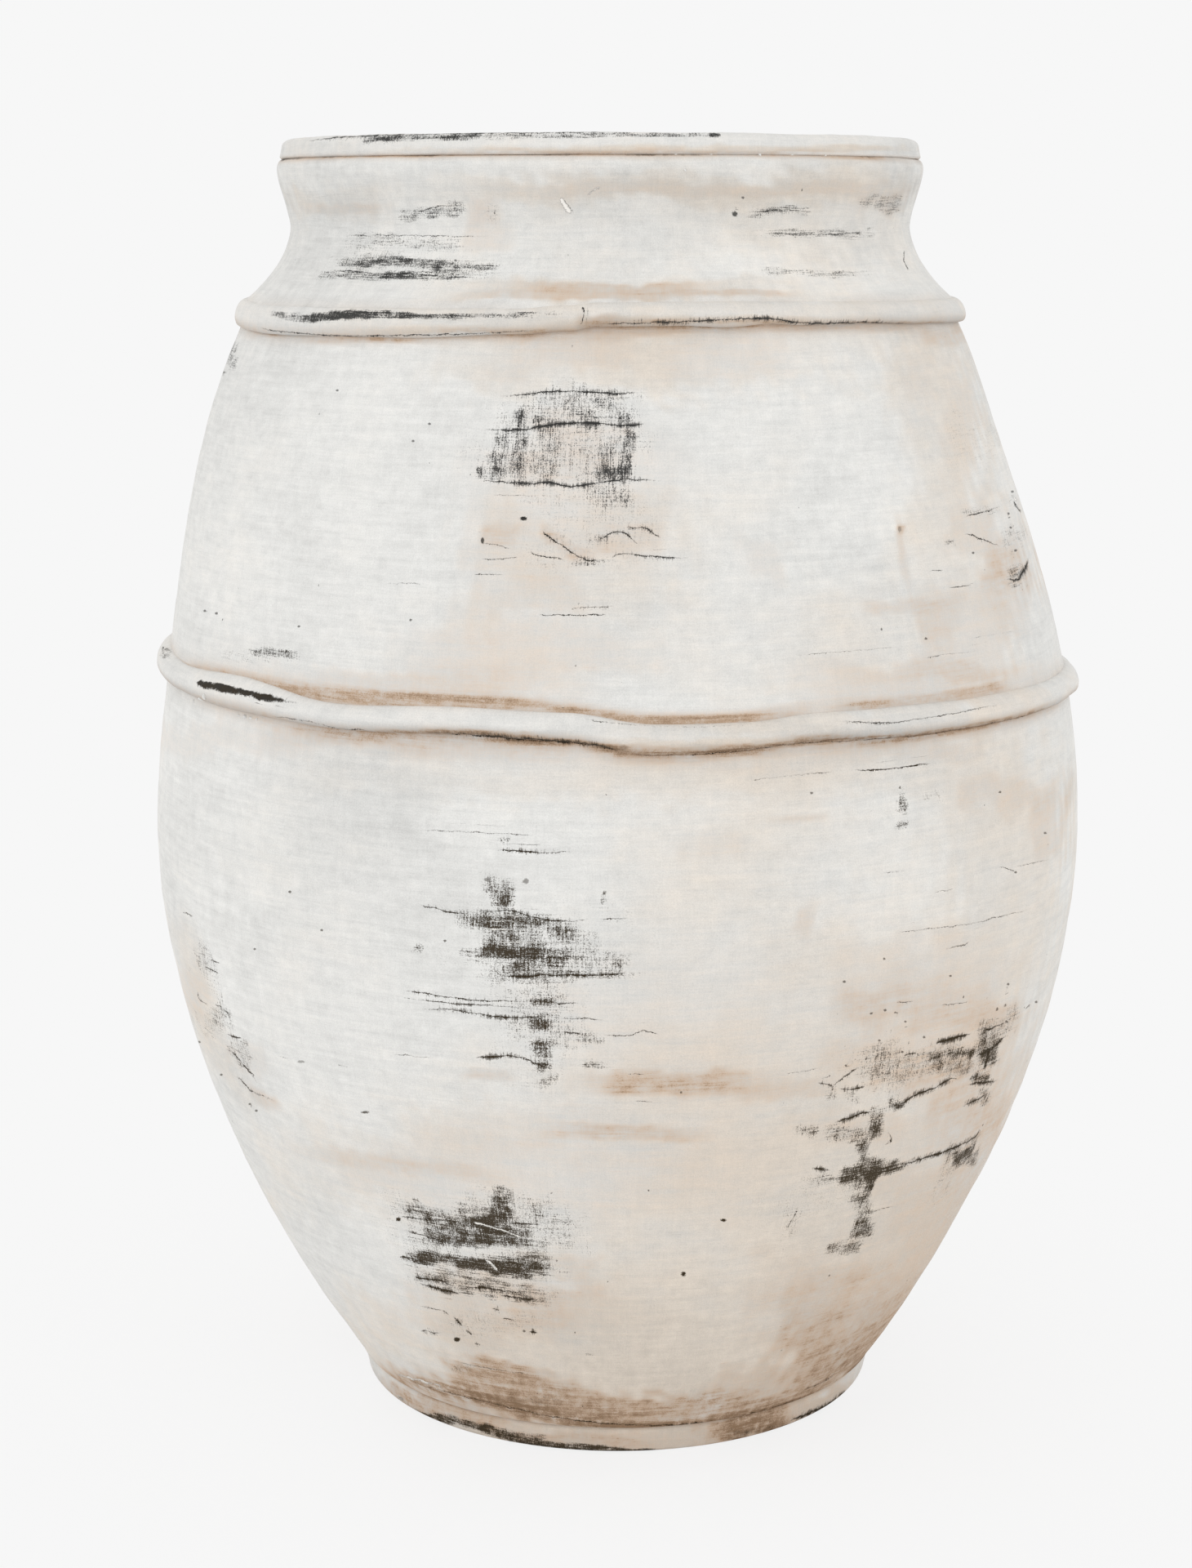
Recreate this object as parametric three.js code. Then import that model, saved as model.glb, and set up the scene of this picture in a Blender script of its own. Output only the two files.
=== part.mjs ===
// A large earthenware floor jar. It is built in sections that are luted together, with a rolled
// clay cord pressed over each outer seam. Millimetres, +Z up, front towards -Y, and the origin at
// the centre of the foot's underside.
import * as THREE from 'three';

// Foot ring and floor
const footHeight = 12.5;
const footRadius = 113;            // where the ring meets the ground
const footTopRadius = 114.3;
const footBoreRadius = 96;
const footEdge = 2.5;              // rounding of the ring's ground edges
const floorRadius = 108;
const floorThickness = 12;
const lutingGap = 0.3;             // slip between one section and the next

// Body, from the foot ring's top to the neck seam
const wallFootRadius = 116.9;
const wallFootEdge = 1.4;
const wallFootSlope = 33.6;        // degrees from upright
const bowlFullness = 126.4;        // handle of the bowl's curve at the foot
const bowlRound = 49.6;            // handle of the bowl's curve at the girth
const bowlHeight = 239.5;
const girthRadius = 200.4;
const shoulderRound = 68;          // handle of the shoulder's curve at the girth
const shoulderFullness = 36.2;     // handle of the shoulder's curve at the neck seam
const shoulderSlope = 30.4;        // degrees from upright
const shoulderHeight = 219;
const shoulderTopRadius = 148.5;
const wallThickness = 10.5;
const bellySeamRise = 68;          // from the girth up to the belly seam
const lapHeight = 6;               // inner half of each wall that stands up into the next section
const coveRadius = 104;            // inner edge of the coil pressed into the floor corner
const coveEdge = 3;
const coveHeight = 15;

// Neck, from the neck seam to the groove under the lip
const neckStep = 3.1;              // how far the neck's foot stands out over the shoulder's top
const neckFootEdge = 2.2;
const flareSlope = 52.1;           // degrees from upright
const flareFullness = 25.7;
const waistRise = 34;              // from the neck seam up to the waist
const waistRadius = 130.6;
const waistRound = 1.6;
const collarHeight = 23;
const collarRadius = 135.9;
const collarHandle = 5.4;
const grooveDrop = 4;              // from the collar's bulge up to the groove
const grooveRadius = 133.6;
const neckThickness = 9.5;

// Lip
const lipHeight = 8.3;
const lipRadius = 134.6;
const lipBoreRadius = 124;
const lipUnderEdge = 1;            // rounding of the lip's lower edge, over the groove
const lipSlant = 0.9;              // how far the lip draws in before it rounds over
const lipRound = 3.2;              // depth of the rounding at the top
const lipLapHeight = 3;

// The upper body stands a little off the foot's axis
const leanOffset = 7.5;
const leanStartRise = 48;          // from the girth up to where the lean begins
const leanSpan = 140;

// Belly cord: angle in degrees from the front towards +X, rise above the seam, height of the cord
const bellyCordStand = 5;
const bellyCordStations = [
  [-90, 5, 11], [-68, 3.6, 10], [-50, 4.3, 13.5], [-34, 2, 9.2], [-17, 4.2, 9.4], [-6, 3.2, 10.4],
  [4, -1.3, 11], [14, -0.7, 9.8], [23, 1, 10], [32, 0, 11.4], [50, -1.2, 10.6], [68, -2.4, 10],
  [90, -4.8, 11], [135, -2, 10.5], [180, 1.2, 11.5], [225, 3.2, 10.5],
];

// Shoulder cord: the same three values, above the neck seam. Its ends butt near the front.
const shoulderCordStand = 2.8;     // how far it stands out over the neck's foot
const shoulderCordEdge = 0.8;      // blunt upper and lower edges of the flattened strip
const shoulderCordStations = [
  [-90, -1, 10.6], [-60, -2.7, 11.6], [-30, -1.8, 10.8], [-12, -0.6, 9.6], [-5, 0.6, 9],
  [0, 2, 8.6], [12, 2.2, 8.4], [18, 1.8, 9.2], [25, 2.3, 8.4], [32, 1.6, 9.2], [42, 1.4, 8.8],
  [57, 0.6, 9.4], [90, -0.6, 10], [135, 0.4, 10], [180, -0.6, 11], [225, 0.2, 10],
];

// Facets
const roundSteps = 60;
const bellyCordSteps = 84;
const shoulderCordSteps = 72;

// Radii and heights that follow from the sizes above
const neckFootRadius = shoulderTopRadius + neckStep;
const shoulderCordRadius = neckFootRadius + shoulderCordStand;
const floorTop = footHeight + floorThickness;
const girth = footHeight + bowlHeight;
const bellySeam = girth + bellySeamRise;
const neckSeam = girth + shoulderHeight;
const waist = neckSeam + waistRise;
const collar = waist + collarHeight;
const groove = collar + grooveDrop;
const lipTop = groove + lipHeight;
const leanStart = girth + leanStartRise;

const radians = THREE.MathUtils.degToRad;
const at = (radius, height) => new THREE.Vector2(radius, height);

function leanAt(height) {
  return leanOffset * THREE.MathUtils.smoothstep(height, leanStart, leanStart + leanSpan);
}

// A smooth stretch of an outline, drawn from its ends and the two handles that shape it
function stretch(start, startHandle, endHandle, end, steps) {
  return new THREE.CubicBezierCurve(start, startHandle, endHandle, end).getPoints(steps);
}

// A quarter round from one point to another that leaves the first one along its radius or height
function quarterRound(start, end, corner, steps) {
  const points = [];
  for (let step = 0; step <= steps; step += 1) {
    const turn = (step / steps) * (Math.PI / 2);
    points.push(at(
      corner.x + (start.x - corner.x) * (1 - Math.sin(turn)) + (end.x - corner.x) * (1 - Math.cos(turn)),
      corner.y + (start.y - corner.y) * (1 - Math.sin(turn)) + (end.y - corner.y) * (1 - Math.cos(turn)),
    ));
  }
  return points;
}

// The radius of an outline at a height, where the outline climbs steadily
function radiusAt(outline, height) {
  for (let index = 1; index < outline.length; index += 1) {
    const below = outline[index - 1];
    const above = outline[index];
    if (height <= above.y) {
      const share = (height - below.y) / (above.y - below.y);
      return below.x + (above.x - below.x) * Math.max(share, 0);
    }
  }
  return outline[outline.length - 1].x;
}

// The part of a climbing outline between two heights, cut square at both
function between(outline, low, high) {
  const inside = outline.filter((point) => point.y > low + 1 && point.y < high - 1);
  return [at(radiusAt(outline, low), low), ...inside, at(radiusAt(outline, high), high)];
}

// An outline moved in by a wall's thickness, square to the curve
function movedIn(outline, thickness) {
  return outline.map((point, index) => {
    const before = outline[Math.max(index - 1, 0)];
    const after = outline[Math.min(index + 1, outline.length - 1)];
    const along = after.clone().sub(before).normalize();
    return at(point.x - thickness * along.y, point.y + thickness * along.x);
  });
}

const down = (outline) => [...outline].reverse();

// Outer line of the body, and its inner line with fewer points
function bodyLine(bowlSteps, shoulderSteps) {
  const footPoint = at(wallFootRadius, footHeight + wallFootEdge);
  const girthPoint = at(girthRadius, girth);
  const topPoint = at(shoulderTopRadius, neckSeam);
  const slope = radians(wallFootSlope);
  const topSlope = radians(shoulderSlope);
  const bowl = stretch(
    footPoint,
    at(footPoint.x + bowlFullness * Math.sin(slope), footPoint.y + bowlFullness * Math.cos(slope)),
    at(girthRadius, girth - bowlRound),
    girthPoint,
    bowlSteps,
  );
  const shoulder = stretch(
    girthPoint,
    at(girthRadius, girth + shoulderRound),
    at(topPoint.x + shoulderFullness * Math.sin(topSlope), neckSeam - shoulderFullness * Math.cos(topSlope)),
    topPoint,
    shoulderSteps,
  );
  return [...bowl, ...shoulder.slice(1)];
}

// Outer line of the neck: flare, waist and collar
function neckLine(flareSteps, collarSteps) {
  const footPoint = at(neckFootRadius, neckSeam + neckFootEdge);
  const waistPoint = at(waistRadius, waist);
  const slope = radians(flareSlope);
  const flare = stretch(
    footPoint,
    at(footPoint.x - flareFullness * Math.sin(slope), footPoint.y + flareFullness * Math.cos(slope)),
    at(waistRadius, waist - waistRound),
    waistPoint,
    flareSteps,
  );
  const collarStretch = stretch(
    waistPoint,
    at(waistRadius, waist + collarHandle),
    at(collarRadius, collar - collarHandle),
    at(collarRadius, collar),
    collarSteps,
  );
  return [...flare, ...collarStretch.slice(1)];
}

const bodyOuter = bodyLine(11, 9);
const bodyInner = movedIn(bodyLine(6, 5), wallThickness);
const neckOuter = neckLine(6, 4);
const neckInner = movedIn(neckLine(4, 3), neckThickness);

// The laps: the inner half of a wall stands up, and the next section sits over it
const bellyLapRadius = radiusAt(bodyOuter, bellySeam) - wallThickness / 2;
const neckLapRadius = (radiusAt(bodyOuter, neckSeam) + radiusAt(bodyInner, neckSeam)) / 2;
const lipLapRadius = (grooveRadius + lipBoreRadius) / 2;

// A closed outline turned round the axis and moved along with the lean
function turned(outline) {
  const geometry = new THREE.LatheGeometry([...outline, outline[0].clone()], roundSteps);
  return leaned(geometry.rotateX(Math.PI / 2));
}

function leaned(geometry) {
  const places = geometry.getAttribute('position');
  for (let index = 0; index < places.count; index += 1) {
    places.setX(index, places.getX(index) - leanAt(places.getZ(index)));
  }
  geometry.computeVertexNormals();
  return geometry;
}

// Rise and height of a cord at an angle, eased between its stations
function cordAt(stations, angle) {
  const rounds = [...stations, [stations[0][0] + 360, stations[0][1], stations[0][2]]];
  const next = rounds.findIndex((station) => station[0] > angle);
  const [fromAngle, fromRise, fromHeight] = rounds[next - 1];
  const [toAngle, toRise, toHeight] = rounds[next];
  const share = THREE.MathUtils.smoothstep(angle, fromAngle, toAngle);
  return {
    rise: THREE.MathUtils.lerp(fromRise, toRise, share),
    height: THREE.MathUtils.lerp(fromHeight, toHeight, share),
  };
}

// A cord laid round the jar: its section changes with the angle, and the ring closes on itself
function laidRound(stations, steps, sectionOf) {
  const places = [];
  const faces = [];
  const startAngle = stations[0][0];
  let count = 0;
  for (let step = 0; step < steps; step += 1) {
    const angle = startAngle + (360 * step) / steps;
    const section = sectionOf(cordAt(stations, angle));
    count = section.length;
    for (const point of section) {
      places.push(point.x * Math.sin(radians(angle)), -point.x * Math.cos(radians(angle)), point.y);
    }
  }
  for (let step = 0; step < steps; step += 1) {
    for (let corner = 0; corner < count; corner += 1) {
      const here = step * count;
      const there = ((step + 1) % steps) * count;
      const next = (corner + 1) % count;
      faces.push(here + corner, there + corner, there + next);
      faces.push(here + corner, there + next, here + next);
    }
  }
  const geometry = new THREE.BufferGeometry();
  geometry.setAttribute('position', new THREE.Float32BufferAttribute(places, 3));
  geometry.setIndex(faces);
  return leaned(geometry);
}

function makeFootRing() {
  return turned([
    at(footBoreRadius + footEdge, 0),
    ...quarterRound(at(footRadius - footEdge, 0), at(footRadius, footEdge), at(footRadius, 0), 2),
    at(footTopRadius, footHeight - footEdge),
    at(footTopRadius - footEdge / 2, footHeight),
    at(footBoreRadius, footHeight),
    at(footBoreRadius, footEdge),
  ]);
}

function makeBaseDisc() {
  const outline = [
    at(0, footHeight),
    at(floorRadius, footHeight),
    at(floorRadius, floorTop),
    at(0, floorTop),
  ];
  return new THREE.LatheGeometry(outline, roundSteps).rotateX(Math.PI / 2);
}

function makeLowerWall() {
  const coveTop = floorTop + coveEdge + coveHeight;
  const coveEnd = at(radiusAt(bodyInner, coveTop), coveTop);
  const coveStart = at(coveRadius, floorTop + coveEdge);
  const lapTop = bellySeam + lapHeight;
  return turned([
    at(floorRadius + lutingGap, footHeight),
    at(wallFootRadius - wallFootEdge, footHeight),
    ...between(bodyOuter, footHeight + wallFootEdge, bellySeam),
    at(bellyLapRadius, bellySeam),
    at(bellyLapRadius, lapTop),
    ...down(between(bodyInner, coveTop, lapTop)),
    ...down(quarterRound(coveStart, coveEnd, at(coveEnd.x, coveStart.y), 3)).slice(1),
    at(coveRadius, floorTop),
    at(floorRadius + lutingGap, floorTop),
  ]);
}

function makeUpperWall() {
  const lapTop = neckSeam + lapHeight;
  const innerTop = radiusAt(bodyInner, neckSeam);
  return turned([
    at(bellyLapRadius + lutingGap, bellySeam),
    ...between(bodyOuter, bellySeam, neckSeam),
    at(neckLapRadius, neckSeam),
    at(neckLapRadius, lapTop),
    at(innerTop, lapTop),
    ...down(between(bodyInner, bellySeam + lapHeight, neckSeam)),
    at(bellyLapRadius + lutingGap, bellySeam + lapHeight),
  ]);
}

function makeNeck() {
  const lapTop = groove + lipLapHeight;
  const innerFoot = neckSeam + lapHeight;
  return turned([
    at(neckLapRadius + lutingGap, neckSeam),
    at(neckFootRadius, neckSeam),
    ...neckOuter,
    ...quarterRound(at(collarRadius, collar), at(grooveRadius, groove), at(collarRadius, groove), 2).slice(1),
    at(lipLapRadius, groove),
    at(lipLapRadius, lapTop),
    at(lipBoreRadius, lapTop),
    ...down(between(neckInner, innerFoot, collar)),
    at(neckLapRadius + lutingGap, innerFoot),
  ]);
}

function makeRimLip() {
  const roundStart = lipTop - lipRound;
  const outerEdge = at(lipRadius - lipSlant, roundStart);
  const innerEdge = at(lipBoreRadius, roundStart);
  const crown = at((lipRadius + lipBoreRadius) / 2, lipTop);
  return turned([
    at(lipLapRadius + lutingGap, groove),
    at(grooveRadius, groove),
    at(lipRadius, groove + lipUnderEdge),
    ...quarterRound(outerEdge, crown, at(outerEdge.x, lipTop), 3),
    ...quarterRound(crown, innerEdge, at(innerEdge.x, lipTop), 3).slice(1),
    at(lipBoreRadius, groove + lipLapHeight),
    at(lipLapRadius + lutingGap, groove + lipLapHeight),
  ]);
}

// The belly cord is half round, with its back on the wall
function makeBellyCord() {
  const roundPoints = 6;
  return laidRound(bellyCordStations, bellyCordSteps, ({ rise, height }) => {
    const section = [];
    for (let point = 0; point <= roundPoints; point += 1) {
      const turn = Math.PI * (point / roundPoints - 0.5);
      const level = bellySeam + rise + (height / 2) * Math.sin(turn);
      const back = radiusAt(bodyOuter, level) + lutingGap;
      section.push(at(back + bellyCordStand * Math.cos(turn), level));
    }
    return section;
  });
}

// The shoulder cord is a flattened strip that fills the step under the neck's foot
function makeShoulderCord() {
  const roundPoints = 4;
  return laidRound(shoulderCordStations, shoulderCordSteps, ({ rise, height }) => {
    const low = neckSeam + rise - height / 2;
    const high = neckSeam + rise + height / 2;
    const lowBack = radiusAt(bodyOuter, low) + lutingGap;
    const highBack = radiusAt(neckOuter, high) + lutingGap;
    const section = [at(lowBack, low)];
    for (let point = 0; point <= roundPoints; point += 1) {
      const share = point / roundPoints;
      const level = THREE.MathUtils.lerp(low, high, share);
      const edge = THREE.MathUtils.lerp(lowBack, highBack, share) + shoulderCordEdge;
      section.push(at(edge + (shoulderCordRadius - edge) * Math.sin(Math.PI * share), level));
    }
    section.push(at(highBack, high));
    section.push(at(neckFootRadius + lutingGap, neckSeam + neckFootEdge));
    section.push(at(neckFootRadius + lutingGap, neckSeam - lutingGap));
    section.push(at(shoulderTopRadius + 2 * lutingGap, neckSeam - lutingGap));
    return section;
  });
}

function piece(name, geometry, colour) {
  const finish = new THREE.MeshStandardMaterial({ color: colour, roughness: 0.95, metalness: 0 });
  const mesh = new THREE.Mesh(geometry, finish);
  mesh.name = name;
  return mesh;
}

const whitewash = '#e0dbd1';
const rubbedWash = '#d2c8ba';
const bareClay = '#8d7867';

const jar = new THREE.Group();
jar.name = 'floor_jar';
jar.add(
  piece('foot_ring', makeFootRing(), rubbedWash),
  piece('base_disc', makeBaseDisc(), bareClay),
  piece('lower_wall', makeLowerWall(), whitewash),
  piece('upper_wall', makeUpperWall(), whitewash),
  piece('neck', makeNeck(), whitewash),
  piece('rim_lip', makeRimLip(), whitewash),
  piece('belly_cordon', makeBellyCord(), rubbedWash),
  piece('shoulder_cordon', makeShoulderCord(), rubbedWash),
);

export default jar;
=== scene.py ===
import math
from functools import partialmethod

import bpy
import numpy as np
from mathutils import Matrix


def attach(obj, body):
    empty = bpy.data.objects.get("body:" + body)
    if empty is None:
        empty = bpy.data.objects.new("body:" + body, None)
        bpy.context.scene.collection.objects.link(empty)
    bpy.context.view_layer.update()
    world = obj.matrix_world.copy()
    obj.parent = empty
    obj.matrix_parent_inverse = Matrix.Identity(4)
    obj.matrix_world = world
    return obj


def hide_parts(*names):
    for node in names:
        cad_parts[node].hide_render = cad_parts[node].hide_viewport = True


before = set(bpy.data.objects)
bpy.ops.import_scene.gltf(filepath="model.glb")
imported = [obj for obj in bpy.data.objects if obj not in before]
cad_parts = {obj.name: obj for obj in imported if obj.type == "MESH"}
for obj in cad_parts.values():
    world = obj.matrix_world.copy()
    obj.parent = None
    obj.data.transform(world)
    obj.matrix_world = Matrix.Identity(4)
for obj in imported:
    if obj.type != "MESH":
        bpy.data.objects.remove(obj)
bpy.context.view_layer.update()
mm = 0.001


# Camera: the photograph's own view. Places in the photograph are in its pixels, from its top left corner.
view = {
    "photoWide": 1460,
    "photoTall": 1920,
    "place": (-0.0093, -1.25326, 0.51126),   # metres
    "downTilt": 0.195,                       # radians
    "lens": 66.65,
    "sensor": 36.0,
}


def addObject(name, data, place=(0, 0, 0), turn=(0, 0, 0)):
    item = bpy.data.objects.new(name, data)
    item.location, item.rotation_euler = place, turn
    bpy.context.scene.collection.objects.link(item)
    return item


def setCamera():
    lens = bpy.data.cameras.new("photoCamera")
    lens.lens, lens.sensor_width, lens.sensor_fit = view["lens"], view["sensor"], "AUTO"
    tilt = math.pi / 2 - view["downTilt"]
    bpy.context.scene.camera = addObject("photoCamera", lens, view["place"], (tilt, 0, 0))


def inPhoto(places):
    # Photograph pixels of places in metres
    focal = view["lens"] / view["sensor"] * view["photoTall"]
    away = places - np.array(view["place"])
    down, level = math.sin(view["downTilt"]), math.cos(view["downTilt"])
    depth = away[:, 1] * level - away[:, 2] * down
    height = away[:, 2] * level + away[:, 1] * down
    return (view["photoWide"] / 2 + focal * away[:, 0] / depth,
            view["photoTall"] / 2 - focal * height / depth)


# Node trees are written as sums of fields
class Field:
    def __init__(self, tree, socket):
        self.tree = tree
        self.socket = socket

    def sum(self, operation, *others):
        return put(self.tree, "ShaderNodeMath", dict(enumerate((self, *others))), operation=operation)

    def beside(self, output):
        # Another output of the same node
        return Field(self.tree, self.socket.node.outputs[output])

    def __rsub__(self, other):
        return self * -1 + other


for method, operation in (
        ("__add__", "ADD"), ("__radd__", "ADD"), ("__sub__", "SUBTRACT"), ("__mul__", "MULTIPLY"),
        ("__rmul__", "MULTIPLY"), ("__truediv__", "DIVIDE"), ("least", "MINIMUM"), ("most", "MAXIMUM"),
        ("size", "ABSOLUTE")):
    setattr(Field, method, partialmethod(Field.sum, operation))


def plug(tree, value, socket):
    if isinstance(value, Field):
        tree.links.new(value.socket, socket)
    elif value is not None:
        socket.default_value = value


def put(tree, kind, feeds=None, output=0, **settings):
    # Adds a node, feeds its sockets by name or number, and gives back one of its outputs
    node = tree.nodes.new(kind)
    for name, value in settings.items():
        setattr(node, name, value)
    for key, value in (feeds or {}).items():
        plug(tree, value, node.inputs[key])
    return Field(tree, node.outputs[output]) if node.outputs else None


def newTree(name, treeKind, takes, gives):
    # A socket is given by its kind, or by a number that it starts from
    tree = bpy.data.node_groups.new(name, treeKind)
    for side, sockets in (("INPUT", takes), ("OUTPUT", gives)):
        for label, given in sockets.items():
            kind = given if isinstance(given, str) else "Int" if isinstance(given, int) else "Float"
            socket = tree.interface.new_socket(name=label, in_out=side, socket_type="NodeSocket" + kind)
            if kind != given:
                socket.default_value = given
    entry = tree.nodes.new("NodeGroupInput")
    taken = {label: Field(tree, entry.outputs[label]) for label in takes}
    return tree, taken, tree.nodes.new("NodeGroupOutput")


def smooth(value, low, high, fromLow=0.0, toHigh=1.0):
    # Eases from fromLow to toHigh as value goes from low to high
    return put(value.tree, "ShaderNodeMapRange",
               {0: value, 1: low, 2: high, 3: fromLow, 4: toHigh}, interpolation_type="SMOOTHSTEP")


def ramp(value, low, high, fromLow=0.0, toHigh=1.0):
    return put(value.tree, "ShaderNodeMapRange", {0: value, 1: low, 2: high, 3: fromLow, 4: toHigh})


def vector(tree, x, y, z):
    return put(tree, "ShaderNodeCombineXYZ", {0: x, 1: y, 2: z})


def parts(field):
    split = put(field.tree, "ShaderNodeSeparateXYZ", {0: field})
    return [split.beside(axis) for axis in "XYZ"]


def noise(places, across, up, seed=0.0, detail=2.0, rough=0.5):
    # Noise whose grain is so many millimetres across and up. Its values lie round a half.
    x, y, z = parts(places)
    wide, tall = across * mm, up * mm
    stretched = vector(places.tree, x / wide + seed * 7.3, y / wide - seed * 5.1, z / tall)
    return put(places.tree, "ShaderNodeTexNoise",
               {"Vector": stretched, "Scale": 1.0, "Detail": detail, "Roughness": rough})


# Outlines of the thrown sections: radius and height in millimetres, as in the CAD part
foot = {"height": 12.5, "radius": 113.0, "topRadius": 114.3, "bore": 96.0, "edge": 2.5, "floor": 12.0,
        "floorRadius": 108.0}
body = {"footRadius": 116.9, "footEdge": 1.4, "footSlope": 33.6, "bowlFullness": 126.4, "bowlRound": 49.6,
        "bowlHeight": 239.5, "girthRadius": 200.4, "shoulderRound": 68.0, "shoulderFullness": 36.2,
        "shoulderSlope": 30.4, "shoulderHeight": 219.0, "topRadius": 148.5, "wall": 10.5, "seamRise": 68.0,
        "lap": 6.0, "cove": 104.0, "coveEdge": 3.0, "coveHeight": 15.0}
neck = {"footStep": 3.1, "footEdge": 2.2, "flareSlope": 52.1, "flareFullness": 25.7, "waistRise": 34.0,
        "waistRadius": 130.6, "waistRound": 1.6, "collarHeight": 23.0, "collarRadius": 135.9,
        "collarHandle": 5.4, "grooveDrop": 4.0, "grooveRadius": 133.6, "wall": 9.5}
lip = {"height": 8.3, "radius": 134.6, "bore": 124.0, "underEdge": 1.0, "slant": 0.9, "round": 3.2,
       "lap": 3.0}
lean = {"offset": 7.5, "start": 300.0, "span": 140.0}
slipGap = 0.3

floorTop = foot["height"] + foot["floor"]
girth = foot["height"] + body["bowlHeight"]
bellySeam = girth + body["seamRise"]
neckSeam = girth + body["shoulderHeight"]
waist = neckSeam + neck["waistRise"]
collar = waist + neck["collarHeight"]
groove = collar + neck["grooveDrop"]
lipTop = groove + lip["height"]
neckFoot = body["topRadius"] + neck["footStep"]


def bezier(start, startHandle, endHandle, end, steps=60):
    t = np.linspace(0, 1, steps + 1)[:, None]
    a, b, c, d = (np.array(point, float) for point in (start, startHandle, endHandle, end))
    return (1 - t) ** 3 * a + 3 * t * (1 - t) ** 2 * b + 3 * t ** 2 * (1 - t) * c + t ** 3 * d


def quarter(start, end, corner, steps=6):
    # A quarter round that leaves start and reaches end, bulging towards the corner
    t = np.linspace(0, math.pi / 2, steps + 1)[:, None]
    start, end, corner = (np.array(point, float) for point in (start, end, corner))
    return corner + (start - corner) * (1 - np.sin(t)) + (end - corner) * (1 - np.cos(t))


def radiusAt(line, height):
    return float(np.interp(height, line[:, 1], line[:, 0]))


def between(line, low, high):
    inside = line[(line[:, 1] > low + 0.2) & (line[:, 1] < high - 0.2)]
    return np.vstack([[radiusAt(line, low), low], inside, [radiusAt(line, high), high]])


def movedIn(line, thickness):
    along = np.gradient(line, axis=0)
    along /= np.linalg.norm(along, axis=1)[:, None]
    return line + thickness * np.stack([-along[:, 1], along[:, 0]], 1)


def bodyLine():
    slope, topSlope = math.radians(body["footSlope"]), math.radians(body["shoulderSlope"])
    start = (body["footRadius"], foot["height"] + body["footEdge"])
    bowl = bezier(start, (start[0] + body["bowlFullness"] * math.sin(slope),
                          start[1] + body["bowlFullness"] * math.cos(slope)),
                  (body["girthRadius"], girth - body["bowlRound"]), (body["girthRadius"], girth))
    shoulder = bezier((body["girthRadius"], girth), (body["girthRadius"], girth + body["shoulderRound"]),
                      (body["topRadius"] + body["shoulderFullness"] * math.sin(topSlope),
                       neckSeam - body["shoulderFullness"] * math.cos(topSlope)),
                      (body["topRadius"], neckSeam))
    return np.vstack([bowl, shoulder[1:]])


def neckLine():
    slope = math.radians(neck["flareSlope"])
    start = (neckFoot, neckSeam + neck["footEdge"])
    flare = bezier(start, (start[0] - neck["flareFullness"] * math.sin(slope),
                           start[1] + neck["flareFullness"] * math.cos(slope)),
                   (neck["waistRadius"], waist - neck["waistRound"]), (neck["waistRadius"], waist))
    rise = bezier((neck["waistRadius"], waist), (neck["waistRadius"], waist + neck["collarHandle"]),
                  (neck["collarRadius"], collar - neck["collarHandle"]), (neck["collarRadius"], collar))
    return np.vstack([flare, rise[1:]])


bodyOuter = bodyLine()
bodyInner = movedIn(bodyOuter, body["wall"])
neckOuter = neckLine()
neckInner = movedIn(neckOuter, neck["wall"])
bellyLap = radiusAt(bodyOuter, bellySeam) - body["wall"] / 2
neckLap = (radiusAt(bodyOuter, neckSeam) + radiusAt(bodyInner, neckSeam)) / 2
lipLap = (neck["grooveRadius"] + lip["bore"]) / 2


# A run of an outline: its points, its rows' spacing, how much the clay gives, and 1 where it faces inwards
def run(points, spacing, give=1.0, inner=0.0):
    points = np.array(points, float)
    steps = np.linalg.norm(np.diff(points, axis=0), axis=1)
    far = np.concatenate([[0], np.cumsum(steps)])
    rows = np.linspace(0, far[-1], max(int(round(far[-1] / spacing)), 1) + 1)
    placed = np.stack([np.interp(rows, far, points[:, 0]), np.interp(rows, far, points[:, 1])], 1)
    return [(radius, height, give, inner) for radius, height in placed]


def footRingOutline():
    radius, top, edge, height = foot["radius"], foot["topRadius"], foot["edge"], foot["height"]
    return (run([(foot["bore"] + edge, 0), (radius - edge, 0)], 4, 0.0)
            + run(quarter((radius - edge, 0), (radius, edge), (radius, 0)), 0.7)[1:]
            + run([(radius, edge), (top, height - edge)], 1)[1:]
            + run(quarter((top, height - edge), (top - edge, height), (top, height)), 0.8, 0.5)[1:]
            + run([(foot["bore"], height), (foot["bore"], edge)], 2.5, 0.3))


def baseDiscOutline():
    rings = [(radius, floorTop + 0.45 * math.cos(radius / 1.6) * min(radius / 20, 1), 1.0, 1.0)
             for radius in np.arange(foot["floorRadius"] - 2, 0.5, -1.5)]
    return (run([(0, foot["height"]), (foot["floorRadius"], foot["height"])], 3, 0.3)
            + run([(foot["floorRadius"], floorTop), (foot["floorRadius"] - 1, floorTop)], 1, 0.0) + rings
            + [(0, floorTop, 1.0, 1.0)])


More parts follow.
